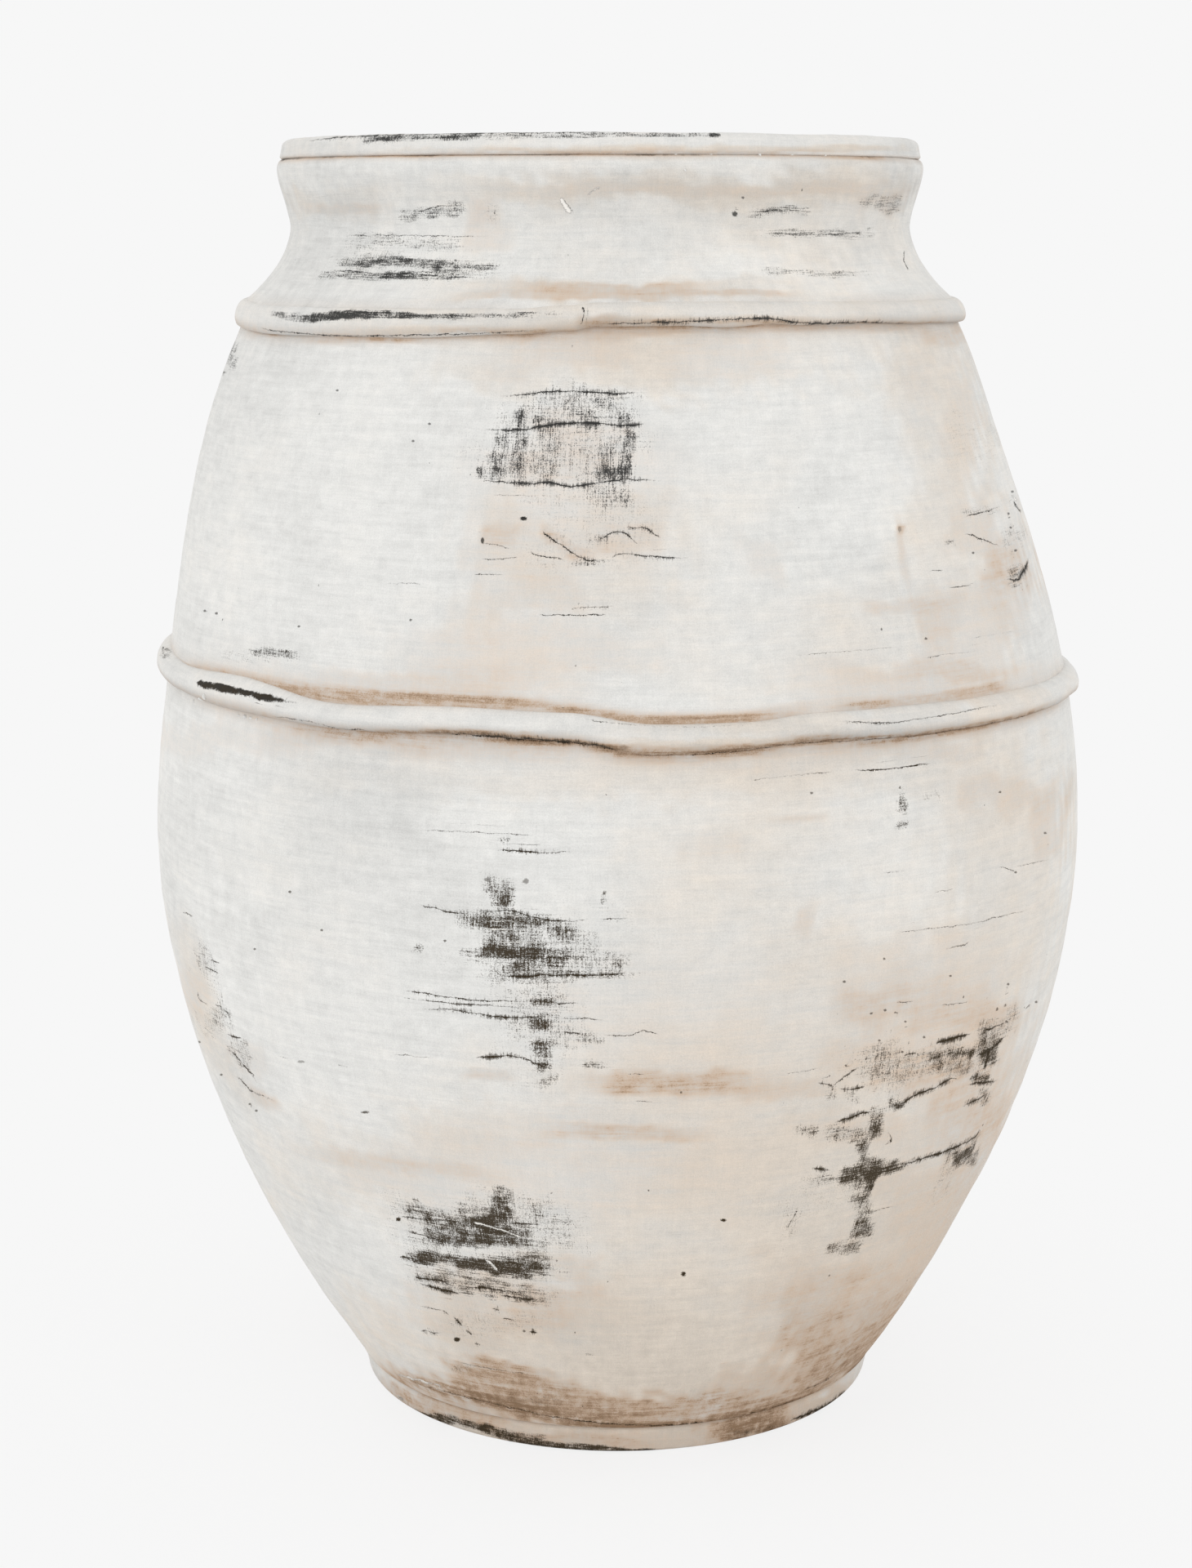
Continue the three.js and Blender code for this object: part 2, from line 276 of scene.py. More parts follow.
def lowerWallOutline():
    coveTop = floorTop + body["coveEdge"] + body["coveHeight"]
    coveEnd = (radiusAt(bodyInner, coveTop), coveTop)
    coveStart = (body["cove"], floorTop + body["coveEdge"])
    lapTop = bellySeam + body["lap"]
    gap = foot["floorRadius"] + slipGap
    footEdge = (body["footRadius"] - body["footEdge"], foot["height"])
    bowl = between(bodyOuter, foot["height"] + body["footEdge"], bellySeam)
    return (run([(gap, foot["height"]), footEdge], 3, 0.0)
            + run(quarter(footEdge, (body["footRadius"], foot["height"] + body["footEdge"]),
                          (body["footRadius"], foot["height"])), 0.7, 0.6)[1:]
            + run(bowl, lowerWall["rowSpacing"])[1:]
            + run([(bellyLap, bellySeam), (bellyLap, lapTop)], 3, 0.0)
            + run(between(bodyInner, coveTop, lapTop)[::-1], 13, 0.8, 1.0)
            + run(quarter(coveEnd, coveStart, (coveEnd[0], coveStart[1])), 3, 0.5, 1.0)[1:]
            + run([(body["cove"], floorTop), (gap, floorTop)], 2, 0.0, 1.0))


def upperWallOutline():
    lapTop = neckSeam + body["lap"]
    return (run([(bellyLap + slipGap, bellySeam), (radiusAt(bodyOuter, bellySeam), bellySeam)], 3, 0.0)
            + run(between(bodyOuter, bellySeam, neckSeam), upperWall["rowSpacing"])[1:]
            + run([(neckLap, neckSeam), (neckLap, lapTop)], 3, 0.0)
            + run([(radiusAt(bodyInner, neckSeam), lapTop)], 1, 0.0, 1.0)
            + run(between(bodyInner, bellySeam + body["lap"], neckSeam)[::-1], 8, 0.8, 1.0)
            + run([(bellyLap + slipGap, bellySeam + body["lap"])], 1, 0.0))


def neckOutline():
    lapTop = groove + lip["lap"]
    innerFoot = neckSeam + body["lap"]
    cut = quarter((neck["collarRadius"], collar), (neck["grooveRadius"], groove),
                  (neck["collarRadius"], groove))
    return (run([(neckLap + slipGap, neckSeam), (neckFoot, neckSeam)], 2, 0.0)
            + run([(neckFoot, neckSeam + 0.8), (neckFoot, neckSeam + 0.9)], 1, 0.5)
            + run(neckOuter, neckPiece["rowSpacing"])
            + run(cut, 0.6)[1:]
            + run([(lipLap, groove), (lipLap, lapTop)], 2, 0.0)
            + run([(lip["bore"], lapTop)], 1, 0.0, 1.0)
            + run(between(neckInner, innerFoot, collar)[::-1], 3, 0.8, 1.0)
            + run([(neckLap + slipGap, innerFoot)], 1, 0.0))


def rimLipOutline():
    roundStart = lipTop - lip["round"]
    outer, inner = (lip["radius"] - lip["slant"], roundStart), (lip["bore"], roundStart)
    crown = ((lip["radius"] + lip["bore"]) / 2, lipTop)
    return (run([(lipLap + slipGap, groove), (neck["grooveRadius"], groove)], 2, 0.0)
            + run([(lip["radius"], groove + lip["underEdge"]), outer], 1.0)
            + run(quarter(outer, crown, (outer[0], lipTop), 10), 0.7)[1:]
            + run(quarter(crown, inner, (inner[0], lipTop), 10), 0.8)[1:]
            + run([inner, (lip["bore"], groove + lip["lap"])], 1, 0.4, 1.0)[1:]
            + run([(lipLap + slipGap, groove + lip["lap"])], 1, 0.0))


# Wheel and hand marks in the clay, shared by every piece: how far the surface stands out, in millimetres
unevenInputs = {"Dent Depth": 0.8, "Dent Size": 70.0, "Ridge Depth": 0.3, "Ridge Pitch": 14.0,
                "Lump Depth": 0.12}


def unevenTree():
    tree, taken, leave = newTree("unevenClay", "GeometryNodeTree", {"Place": "Vector", **unevenInputs},
                                 {"Rise": "Float"})
    place = taken["Place"]
    x, y, z = parts(place)
    size = taken["Dent Size"] * mm
    dents = put(tree, "ShaderNodeTexNoise",
                {"Vector": vector(tree, x / size + 31.0, y / size, z / size), "Scale": 1.0, "Detail": 1.5})
    pitch = taken["Ridge Pitch"] * mm
    ridges = put(tree, "ShaderNodeTexNoise",
                 {"Vector": vector(tree, x / 0.35 + 12.0, y / 0.35, z / pitch), "Scale": 1.0, "Detail": 1.0})
    lumps = noise(place, 16, 9, seed=5.0)
    rise = ((dents - 0.5) * taken["Dent Depth"] * 3 + (ridges - 0.5) * taken["Ridge Depth"] * 3
            + (lumps - 0.5) * taken["Lump Depth"] * 3)
    plug(tree, rise, leave.inputs["Rise"])
    return tree


def uneven(tree, place, taken):
    return put(tree, "GeometryNodeGroup", {"Place": place, **{label: taken[label] for label in unevenInputs}},
               node_tree=unevenClay)


def sampled(tree, source, value, index, kind):
    return put(tree, "GeometryNodeSampleIndex", {"Geometry": source, "Value": value, "Index": index},
               data_type=kind, domain="POINT")


def attribute(tree, name, kind="FLOAT"):
    return put(tree, "GeometryNodeInputNamedAttribute", {"Name": name}, data_type=kind)


def stored(tree, geometry, name, value):
    return put(tree, "GeometryNodeStoreNamedAttribute", {"Geometry": geometry, "Name": name, "Value": value},
               data_type="FLOAT", domain="POINT")


def roundGrid(tree, taken, section):
    # A grid of columns round the jar and of as many rows as the section has points, both closed. The columns
    # lie closer at the front.
    columns, closeness = taken["Columns"], taken["Front Closeness"]
    rows = put(tree, "GeometryNodeAttributeDomainSize", {"Geometry": section}, component="MESH")
    grid = put(tree, "GeometryNodeMeshGrid",
               {"Size X": 1.0, "Size Y": 1.0, "Vertices X": columns + 1, "Vertices Y": rows + 1})
    x, y, _ = parts(put(tree, "GeometryNodeInputPosition"))
    row = ((y + 0.5) * rows).sum("ROUND").sum("MODULO", rows)
    column = ((x + 0.5) * columns).sum("ROUND").sum("MODULO", columns)
    turn = x * (2 * math.pi)
    angle = turn - closeness * turn.sum("SINE")
    return grid, row, column, angle


def leaning(z):
    return smooth(z, lean["start"] * mm, (lean["start"] + lean["span"]) * mm, 0.0, lean["offset"] * mm)


def turned(tree, grid, angle, radius, z):
    # Sets a grid's points at their radius and height round the leaning axis and closes its seams
    place = vector(tree, radius * angle.sum("SINE") - leaning(z), radius * angle.sum("COSINE") * -1, z)
    grid = put(tree, "GeometryNodeSetPosition", {"Geometry": grid, "Position": place})
    return put(tree, "GeometryNodeMergeByDistance", {"Geometry": grid, "Distance": 0.00002})


def pushed(tree, geometry, rise):
    # Moves the surface out, by a rise in millimetres
    offset = put(tree, "ShaderNodeVectorMath", {0: put(tree, "GeometryNodeInputNormal"), "Scale": rise * mm},
                 operation="SCALE")
    return put(tree, "GeometryNodeSetPosition", {"Geometry": geometry, "Offset": offset})


def finished(tree, geometry, taken, leave):
    smoothed = put(tree, "GeometryNodeSetShadeSmooth", {"Geometry": geometry})
    solid = put(tree, "GeometryNodeRealizeInstances", {"Geometry": smoothed})
    plug(tree, put(tree, "GeometryNodeSetMaterial", {"Geometry": solid, "Material": taken["Finish"]}),
         leave.inputs["Geometry"])


# Turns an outline round the jar's axis, leans it and works the clay by hand
def thrownTree():
    tree, taken, leave = newTree(
        "thrownSection", "GeometryNodeTree",
        {"Outline": "Geometry", "Columns": 480, "Front Closeness": 0.3, **unevenInputs, "Finish": "Material"},
        {"Geometry": "Geometry"})
    outline = taken["Outline"]
    grid, row, column, angle = roundGrid(tree, taken, outline)
    spot = sampled(tree, outline, put(tree, "GeometryNodeInputPosition"), row, "FLOAT_VECTOR")
    for name in ("give", "inner"):
        grid = stored(tree, grid, name, sampled(tree, outline, attribute(tree, name), row, "FLOAT"))
    radius, _, z = parts(spot)
    here = put(tree, "GeometryNodeInputPosition")
    aboveGround = smooth(parts(here)[2], 0.0, 0.006)
    rise = uneven(tree, here, taken) * attribute(tree, "give") * aboveGround
    finished(tree, pushed(tree, turned(tree, grid, angle, radius, z), rise), taken, leave)
    return tree


# Lays a rolled cord round the jar: the path carries its lower and upper edge, the section its roundness
def cordTree():
    tree, taken, leave = newTree(
        "laidCord", "GeometryNodeTree",
        {"Path": "Geometry", "Section": "Object", "Columns": 480, "Front Closeness": 0.3, "Finger Depth": 0.5,
         "Finger Pitch": 24.0, **unevenInputs, "Finish": "Material"},
        {"Geometry": "Geometry"})
    path = taken["Path"]
    section = put(tree, "GeometryNodeObjectInfo", {"Object": taken["Section"]}, output="Geometry")
    grid, row, column, angle = roundGrid(tree, taken, section)
    (lowRadius, _, lowZ), (highRadius, _, highZ) = (
        parts(sampled(tree, path, attribute(tree, edge, "FLOAT_VECTOR"), column, "FLOAT_VECTOR"))
        for edge in ("lower", "upper"))
    stand = sampled(tree, path, attribute(tree, "stand"), column, "FLOAT")
    here = put(tree, "GeometryNodeInputPosition")
    bulge, _, share = parts(sampled(tree, section, here, row, "FLOAT_VECTOR"))
    radius = lowRadius + (highRadius - lowRadius) * share + stand * bulge
    grid = stored(tree, stored(tree, grid, "bulge", bulge.most(0.0)), "share", share)
    ring = turned(tree, grid, angle, radius, lowZ + (highZ - lowZ) * share)
    x, y, z = parts(here)
    pitch = taken["Finger Pitch"] * mm
    spot = vector(tree, x / pitch + 5.0, y / pitch, z / pitch)
    fingers = put(tree, "ShaderNodeTexNoise", {"Vector": spot, "Scale": 1.0, "Detail": 1.0})
    rise = uneven(tree, here, taken) + (fingers - 0.5) * 3 * taken["Finger Depth"] * attribute(tree, "bulge")
    finished(tree, pushed(tree, ring, rise), taken, leave)
    return tree


# Crumbs of slip stuck to the surface, one at each point of the source
def crumbTree():
    tree, taken, leave = newTree(
        "slipCrumbs", "GeometryNodeTree",
        {"Places": "Geometry", "Roughness": 0.35, "Seed": 4, "Finish": "Material"},
        {"Geometry": "Geometry"})
    ball = put(tree, "GeometryNodeMeshIcoSphere", {"Radius": 1.0, "Subdivisions": 3})
    spin, shape = (
        put(tree, "FunctionNodeRandomValue", {0: least, 1: most, "Seed": seed}, data_type="FLOAT_VECTOR")
        for least, most, seed in (((0.0, 0.0, 0.0), (6.28, 6.28, 6.28), taken["Seed"]),
                                  ((0.7, 0.5, 0.5), (1.5, 1.0, 0.9), taken["Seed"] + 1)))
    size = put(tree, "ShaderNodeVectorMath", {0: shape, "Scale": attribute(tree, "size")}, operation="SCALE")
    placed = put(tree, "GeometryNodeInstanceOnPoints",
                 {"Points": taken["Places"], "Instance": ball, "Rotation": spin, "Scale": size})
    solid = put(tree, "GeometryNodeRealizeInstances", {"Geometry": placed})
    bumps = noise(put(tree, "GeometryNodeInputPosition"), 1.3, 1.3, seed=1.0)
    finished(tree, pushed(tree, solid, (bumps - 0.5) * taken["Roughness"] * 3), taken, leave)
    return tree


def pointMesh(name, places, **attributes):
    mesh = bpy.data.meshes.new(name)
    mesh.from_pydata([tuple(float(v) for v in place) for place in places], [], [])
    for label, values in attributes.items():
        values = np.array(values, np.float32)
        kind, field = ("FLOAT_VECTOR", "vector") if values.ndim == 2 else ("FLOAT", "value")
        mesh.attributes.new(label, kind, "POINT").data.foreach_set(field, values.ravel())
    return mesh


def grown(name, source, tree, values):
    # Runs a tree on a source mesh and keeps the result as a plain mesh
    piece = addObject(name, source)
    modifier = piece.modifiers.new(tree.name, "NODES")
    modifier.node_group = tree
    for item in tree.interface.items_tree:
        if item.item_type == "SOCKET" and item.in_out == "INPUT" and item.name in values:
            modifier[item.identifier] = values[item.name]
    evaluated = piece.evaluated_get(bpy.context.evaluated_depsgraph_get())
    mesh = bpy.data.meshes.new_from_object(evaluated)
    mesh.name = name
    piece.modifiers.remove(modifier)
    piece.data = mesh
    bpy.data.meshes.remove(source)
    return piece


def thrown(name, outline, look, finish):
    rows = np.array(outline)
    places = np.stack([rows[:, 0] * mm, np.zeros(len(rows)), rows[:, 1] * mm], 1)
    source = pointMesh(name + "Outline", places, give=rows[:, 2], inner=rows[:, 3])
    return grown(name, source, thrownSection, {**look["clay"], "Columns": look["columns"], "Finish": finish})


# Paint on the pieces. Marks seen in the photograph are given by its pixels, the others by seeded chance on a
# drum of wearRadius millimetres.
pixelsPerMm = 2.95
wearRadius = 190
lineFade = (0.2, 0.28)   # shares of a line over which it comes in and goes out


def patch(x, y, wide, tall, deep, hatch=0.5, turn=0, soft=0.85):
    # Wide and tall are whole sizes, and deep is how far the wash is gone. Hatch is the way of the threads,
    # from 0 (across) to 1 (upright). Turn is in degrees. Soft is how far the edge eases off, as a share of
    # the half size.
    return dict(x=x, y=y, wide=wide, tall=tall, deep=deep, hatch=hatch, turn=turn, soft=soft)


def line(thick, deep, *places, fade=lineFade):
    # A stroke. Thick is half its width in millimetres, and a depth below 0 is a pale ridge.
    return dict(path=list(zip(places[::2], places[1::2])), thick=thick, deep=deep, fade=fade)


def stripe(field, wide, deep, *places):
    return dict(path=list(zip(places[::2], places[1::2])), wide=wide, deep=deep, field=field)


def eased(value):
    value = np.clip(value, 0, 1)
    return value * value * (3 - 2 * value)


class Paint:
    def __init__(self, piece):
        mesh = piece.data
        self.mesh = mesh
        count = len(mesh.vertices)
        places, normals = np.zeros(count * 3), np.zeros(count * 3)
        mesh.vertices.foreach_get("co", places)
        mesh.vertices.foreach_get("normal", normals)
        self.places, normals = places.reshape(-1, 3), normals.reshape(-1, 3)
        x, y = inPhoto(self.places)
        towards = np.array(view["place"]) - self.places
        towards /= np.linalg.norm(towards, axis=1)[:, None]
        facing = (normals * towards).sum(1)
        outside = np.ones(count)
        if "inner" in mesh.attributes:
            mesh.attributes["inner"].data.foreach_get("value", outside)
            outside = 1 - outside
        self.outside = outside > 0.5
        seen, nearly = (facing > 0.04) & self.outside, (facing > -0.45) & self.outside
        self.x, self.y = np.where(seen, x, -9999), np.where(seen, y, -9999)
        self.nearX, self.nearY = np.where(nearly, x, -9999), np.where(nearly, y, -9999)
        self.inView = np.where(seen, 1.0, eased((facing + 0.45) / 0.49)) * self.outside
        self.height = self.places[:, 2] / mm
        self.angle = np.degrees(np.arctan2(self.places[:, 0] + leanAt(self.height) * mm, -self.places[:, 1]))
        self.drift = [sum(waver(self.places, size, seed) * share
                          for size, share in ((60, 0.5), (24, 0.5), (9, 0.4))) for seed in (1, 2)]
        self.worn, self.brown, self.warm = np.zeros(count), np.zeros(count), np.zeros(count)
        self.hatch, self.creaseDirtAndShade, self.shade = np.full(count, 0.5), np.zeros(count), np.zeros(count)
        self.lines = [np.tile([4.0, 0.0, 0.0], (count, 1)) for _ in range(3)]
        self.spots = np.tile([9.0, 9.0, 0.0], (count, 1))

    def fadeBehind(self):
        for field in ("worn", "brown", "warm", "shade"):
            getattr(self, field)[:] *= self.inView

    def footGrime(self):
        # The brown at the foot runs on round the back
        hidden = (1 - self.inView) * self.outside
        patchy = np.clip(0.75 + 0.5 * ripple(self.angle, 5.0), 0.2, 1.3)
        self.brown += hidden * eased((60 - self.height) / 44) * patchy
        self.warm += hidden * (0.15 + 0.4 * eased((150 - self.height) / 120))

    def spread(self, mark, xs, ys):
        # How strongly a mark covers each point: whole inside its size and easing off at a wandering edge
        turn = math.radians(mark["turn"])
        roam = min(0.3 * mark["wide"], 0.3 * mark["tall"] + 8, 30)
        rove = min(0.3 * mark["tall"], 0.3 * mark["wide"] + 4, 24)
        dx, dy = xs - mark["x"] + roam * self.drift[0], ys - mark["y"] + rove * self.drift[1]
        across = np.abs(dx * math.cos(turn) + dy * math.sin(turn)) / (mark["wide"] / 2)
        up = np.abs(dy * math.cos(turn) - dx * math.sin(turn)) / (mark["tall"] / 2)
        soft = mark["soft"]
        return eased((1 + soft / 2 - across) / soft) * eased((1 + soft / 2 - up) / soft) * mark["deep"]

    def lay(self, field, patches, xs, ys):
        values = getattr(self, field)
        for mark in patches:
            if field == "worn" and max(mark["wide"], mark["tall"]) <= 10:
                self.spot(mark, xs, ys)
                continue
            cover = self.spread(mark, xs, ys)
            if field == "worn":
                reach = np.clip(cover * 2, 0, 1)
                self.hatch[:] = self.hatch * (1 - reach) + mark["hatch"] * reach
            values += cover * (1 - np.clip(values, 0, 1) * 0.7)

    def spot(self, mark, xs, ys):
        far = np.hypot(xs - mark["x"], ys - mark["y"])
        near = np.where((far < 15) & (far < np.hypot(*self.spots[:, :2].T) * 5))[0]
        fading = eased((12 - far[near]) / 4) * min(mark["deep"], 1.4)
        self.spots[near] = np.stack([(xs[near] - mark["x"]) / (mark["wide"] / 2),
                                     (ys[near] - mark["y"]) / (mark["tall"] / 2), fading], 1)

    def speck(self, places):
        for x, y in places:
            self.spot(patch(x, y, 3.4, 2.8, 0.75), self.x, self.y)

    def band(self, bands, xs, ys):
        # Soft stripes along paths
        for band in bands:
            near, gap, share = pathGap(band["path"], band["wide"], xs, ys)
            ends = eased(share / 0.12) * eased((1 - share) / 0.12)
            cover = eased(1.3 - np.abs(gap) / (band["wide"] / 2)) * ends
            getattr(self, band["field"])[near] += cover * band["deep"]

    def draw(self, strokes, xs, ys):
        # Tool strokes as signed distances, so that a fine line stays sharp between the mesh's points
        for stroke in strokes:
            near, gap, share = pathGap(stroke["path"], 14, xs, ys)
            gap = gap / pixelsPerMm
            fadeIn, fadeOut = stroke["fade"]
            ink = eased(share / fadeIn) * eased((1 - share) / fadeOut) * eased((3.2 - np.abs(gap)) / 1.2)
            ink *= stroke["deep"]
            inside = np.abs(gap) < 4.7
            near, gap, ink = near[inside], gap[inside], ink[inside]
            taken = [np.count_nonzero((layer[near, 2] != 0) & (ink != 0)) for layer in self.lines]
            layer = self.lines[int(np.argmin(taken))]
            shown = np.abs(ink) >= np.abs(layer[near, 2])
            layer[near[shown]] = np.stack([gap, np.full(len(near), stroke["thick"]), ink], 1)[shown]

    def creaseDirtAndShadeBy(self, edge, way, reach, strength):
        # Dirt and painted shade in the corner beside an edge, which lies at a height for each angle. Way is 1
        # where the wall goes up from it, and -1 where it goes down.
        gap = (self.height - edge(self.angle)) * way
        depth = np.clip(1 - gap / reach, 0, 1.4) * (gap > -6)
        self.creaseDirtAndShade = np.maximum(self.creaseDirtAndShade, depth * strength * (0.72 + 0.38 * ripple(self.angle, reach)))

    def paintUnderShade(self, deep):
        # Painted shade under a cord: the lower half of its section darker and browner towards the bottom
        share = np.zeros(len(self.mesh.vertices))
        self.mesh.attributes["share"].data.foreach_get("value", share)
        underShade = eased((0.5 - share) / 0.5) * deep
        self.shade += underShade
        self.brown += underShade * 0.9

    def wearBehind(self, seed, lowest, highest, clusters):
        # Wear of the same kind on the sides and back, which the photograph doesn't show
        chance = np.random.default_rng(seed)
        drum = wearRadius * pixelsPerMm
        everywhere = np.radians(self.angle % 360) * drum
        ys = -self.height * pixelsPerMm
        hidden = (np.abs(self.angle) > 66) & (self.x < 0) & self.outside
        xs = np.where(hidden, everywhere, -9999)
        for cluster in range(clusters):
            turn = 92 + 176 * (cluster + chance.uniform(0.2, 0.8)) / clusters
            middle = (math.radians(turn) * drum, -chance.uniform(lowest, highest) * pixelsPerMm)
            width = chance.uniform(70, 150)
            patches, strokes = [], []
            for _ in range(int(chance.integers(6, 11))):
                patches.append(patch(
                    middle[0] + chance.normal(0, width / 2.5), middle[1] + chance.normal(0, 45),
                    chance.uniform(20, 110), chance.uniform(7, 22), chance.uniform(0.3, 0.85),
                    hatch=chance.uniform(0.1, 0.9)))
            patches.append(patch(*middle, width * 2, 120, 0.22, hatch=0.8, soft=1.2))
            for _ in range(int(chance.integers(6, 11))):
                left, level = middle[0] + chance.normal(0, 30) - width, middle[1] + chance.normal(0, 60)
                steps = np.linspace(0, chance.uniform(90, 280), 5)
                sway = np.cumsum(chance.normal(0, 2.2, 5))
                strokes.append(dict(path=[(left + step, level + drift) for step, drift in zip(steps, sway)],
                                    thick=chance.uniform(0.25, 0.6), deep=chance.uniform(0.7, 1.1),
                                    fade=lineFade))
            self.lay("worn", patches, xs, ys)
            self.draw(strokes, xs, ys)
        for field, number, deep in (("brown", clusters * 7, 0.5), ("warm", clusters * 6, 0.8)):
            blots = [patch(math.radians(chance.uniform(60, 300)) * drum,
                           -chance.uniform(lowest, highest) * pixelsPerMm, chance.uniform(80, 340),
                           chance.uniform(16, 70), chance.uniform(0.3, 0.9) * deep, soft=1.6)
                     for _ in range(number)]
            values = getattr(self, field)
            before = values.copy()
            self.lay(field, blots, everywhere, ys)
            values[:] = before + (values - before) * (1 - self.inView) * self.outside

    def store(self):
        sets = {"wear": (self.worn, self.brown, self.warm), "detail": (self.hatch, self.creaseDirtAndShade, self.shade)}
        for name, values in sets.items():
            self.write(name, np.stack(values, 1))
        for name, values in zip(("strokeA", "strokeB", "strokeC", "spot"), (*self.lines, self.spots)):
            self.write(name, values)

    def write(self, name, values):
        layer = self.mesh.attributes.new(name, "FLOAT_VECTOR", "POINT")
        layer.data.foreach_set("vector", np.asarray(values, np.float32).ravel())


def leanAt(height):
    return lean["offset"] * eased((height - lean["start"]) / lean["span"])


def waver(places, size, seed):
    # A slow wandering value, from about -1 to 1, that changes over so many millimetres
    chance = np.random.default_rng(seed * 100 + size)
    waves = 0
    for _ in range(5):
        way = chance.normal(0, 1, 3)
        way /= np.linalg.norm(way)
        pace = 2 * math.pi / (size * mm * chance.uniform(0.7, 1.4))
        waves = waves + np.sin(places @ way * pace + chance.uniform(0, 6.28))
    return waves / 2.6


def ripple(angle, seed):
    # An uneven strength round the jar, from about -1 to 1
    chance = np.random.default_rng(int(seed * 10))
    turn = np.radians(angle)
    waves = [np.sin(count * turn + chance.uniform(0, 6.28)) * share
             for count, share in ((2, 0.35), (5, 0.35), (9, 0.3), (17, 0.3), (31, 0.25))]
    return sum(waves)


def pathGap(path, reach, xs, ys):
    # Signed distances from a drawn path, and how far along it, of the points that lie near it
    path = np.array(path, float)
    along = np.linspace(0, len(path) - 1, (len(path) - 1) * 8 + 1)
    path = np.stack([softened(path[:, 0], along), softened(path[:, 1], along)], 1)
    low, high = path.min(0) - reach, path.max(0) + reach
    near = np.where((xs > low[0]) & (xs < high[0]) & (ys > low[1]) & (ys < high[1]))[0]
    best, gap, share = np.full(len(near), 1e9), np.full(len(near), 1e9), np.zeros(len(near))
    for step in range(len(path) - 1):
        start, way = path[step], path[step + 1] - path[step]
        off = np.stack([xs[near], ys[near]], 1) - start
        t = np.clip(off @ way / (way @ way), 0, 1)
        away = off - t[:, None] * way
        far = np.hypot(away[:, 0], away[:, 1])
        side = np.sign(way[0] * off[:, 1] - way[1] * off[:, 0])
        closer = far < best
        gap = np.where(closer, far * side, gap)
        share = np.where(closer, (step + t) / (len(path) - 1), share)
        best = np.minimum(best, far)
    return near, gap, share


def softened(values, along):
    # Catmull-Rom through the values, so that a drawn path bends smoothly
    before = np.concatenate([[2 * values[0] - values[1]], values, [2 * values[-1] - values[-2]]])
    step = np.minimum(along.astype(int), len(values) - 2)
    t = along - step
    a, b, c, d = (before[step + shift] for shift in range(4))
    return b + 0.5 * t * (c - a + t * (2 * a - 5 * b + 4 * c - d + t * (3 * (b - c) + d - a)))


# Finishes: a worn whitewash over dark clay
def fromScreen(code):
    # A hex colour as it looks on screen, made linear
    levels = [int(code[place:place + 2], 16) / 255 for place in (0, 2, 4)]
    return (*[level / 12.92 if level < 0.04045 else ((level + 0.055) / 1.055) ** 2.4 for level in levels], 1.0)


wash = {
    "cool": fromScreen("E1E1DF"),
    "cream": fromScreen("D7CEC3"),
    "brown": fromScreen("C1A993"),
    "deepBrown": fromScreen("8A7159"),
    "dark": fromScreen("382E1E"),
    "darkBlue": fromScreen("353534"),
    "clay": fromScreen("8D7867"),
    "clayPale": fromScreen("B3A18F"),
    "ridge": fromScreen("F0EDE8"),
}


def blendColours(tree, share, first, second):
    return put(tree, "ShaderNodeMix", {0: share, 6: first, 7: second}, output=2, data_type="RGBA")


def ownPlace(tree):
    return put(tree, "ShaderNodeTexCoord", output="Object")


def onDrum(tree):
    # Places pressed out to one radius, so that a pattern runs evenly round the jar without a seam
    x, y, z = parts(ownPlace(tree))
    far = (x * x + y * y).sum("SQRT").most(0.02) / 0.2
    return vector(tree, x / far, y / far, z)


# Marks of brush and cloth, from one set of noises that every other effect shares. All lie from 0 to 1.
def brushTree():
    grains = {"Across": (14, 0.6, 1.0, 2.0), "Upright": (0.6, 5.0, 2.0, 2.0), "Patchy": (8, 5, 3.0, 3.0),
              "Grain": (0.5, 0.45, 4.0, 1.0), "Mottle": (5, 4, 5.0, 3.0), "Clouds": (55, 40, 6.0, 3.0),
              "Sweep": (45, 2.6, 7.0, 3.0), "Comb": (2.4, 30, 8.0, 3.0)}
    tree, taken, leave = newTree("brushMarks", "ShaderNodeTree", {"Spread": 0.22},
                                 dict.fromkeys(grains, "Float"))
    drum = onDrum(tree)
    for label, (across, up, seed, detail) in grains.items():
        wave = noise(drum, across, up, seed=seed, detail=detail, rough=0.6)
        plug(tree, ramp(wave, 0.5 - taken["Spread"], 0.5 + taken["Spread"]), leave.inputs[label])
    return tree


# Where the whitewash is rubbed through to dark clay, in the cross-hatch of a coarse cloth
def rubTree():
    tree, taken, leave = newTree(
        "clothRub", "ShaderNodeTree",
        {"Worn": 0.0, "Hatch": 0.5, "Across": 0.5, "Upright": 0.5, "Patchy": 0.5, "Mottle": 0.5,
         "Grain": 0.5}, {"Dark": "Float"})
    across, upright, hatch = taken["Across"], taken["Upright"], taken["Hatch"]
    threads = across * (0.85 - hatch * 0.60) + upright * (0.15 + hatch * 0.60)
    weave = ramp(threads * 0.58 + taken["Grain"] * 0.42, 0.2, 0.8)
    cover = (taken["Worn"] * (0.45 + taken["Patchy"] * 0.65 + taken["Mottle"] * 0.45)).least(1.08)
    graded = smooth(cover - weave, -0.24, 0.5) * smooth(cover, 0.02, 0.3)
    plug(tree, graded * 0.98, leave.inputs["Dark"])
    return tree


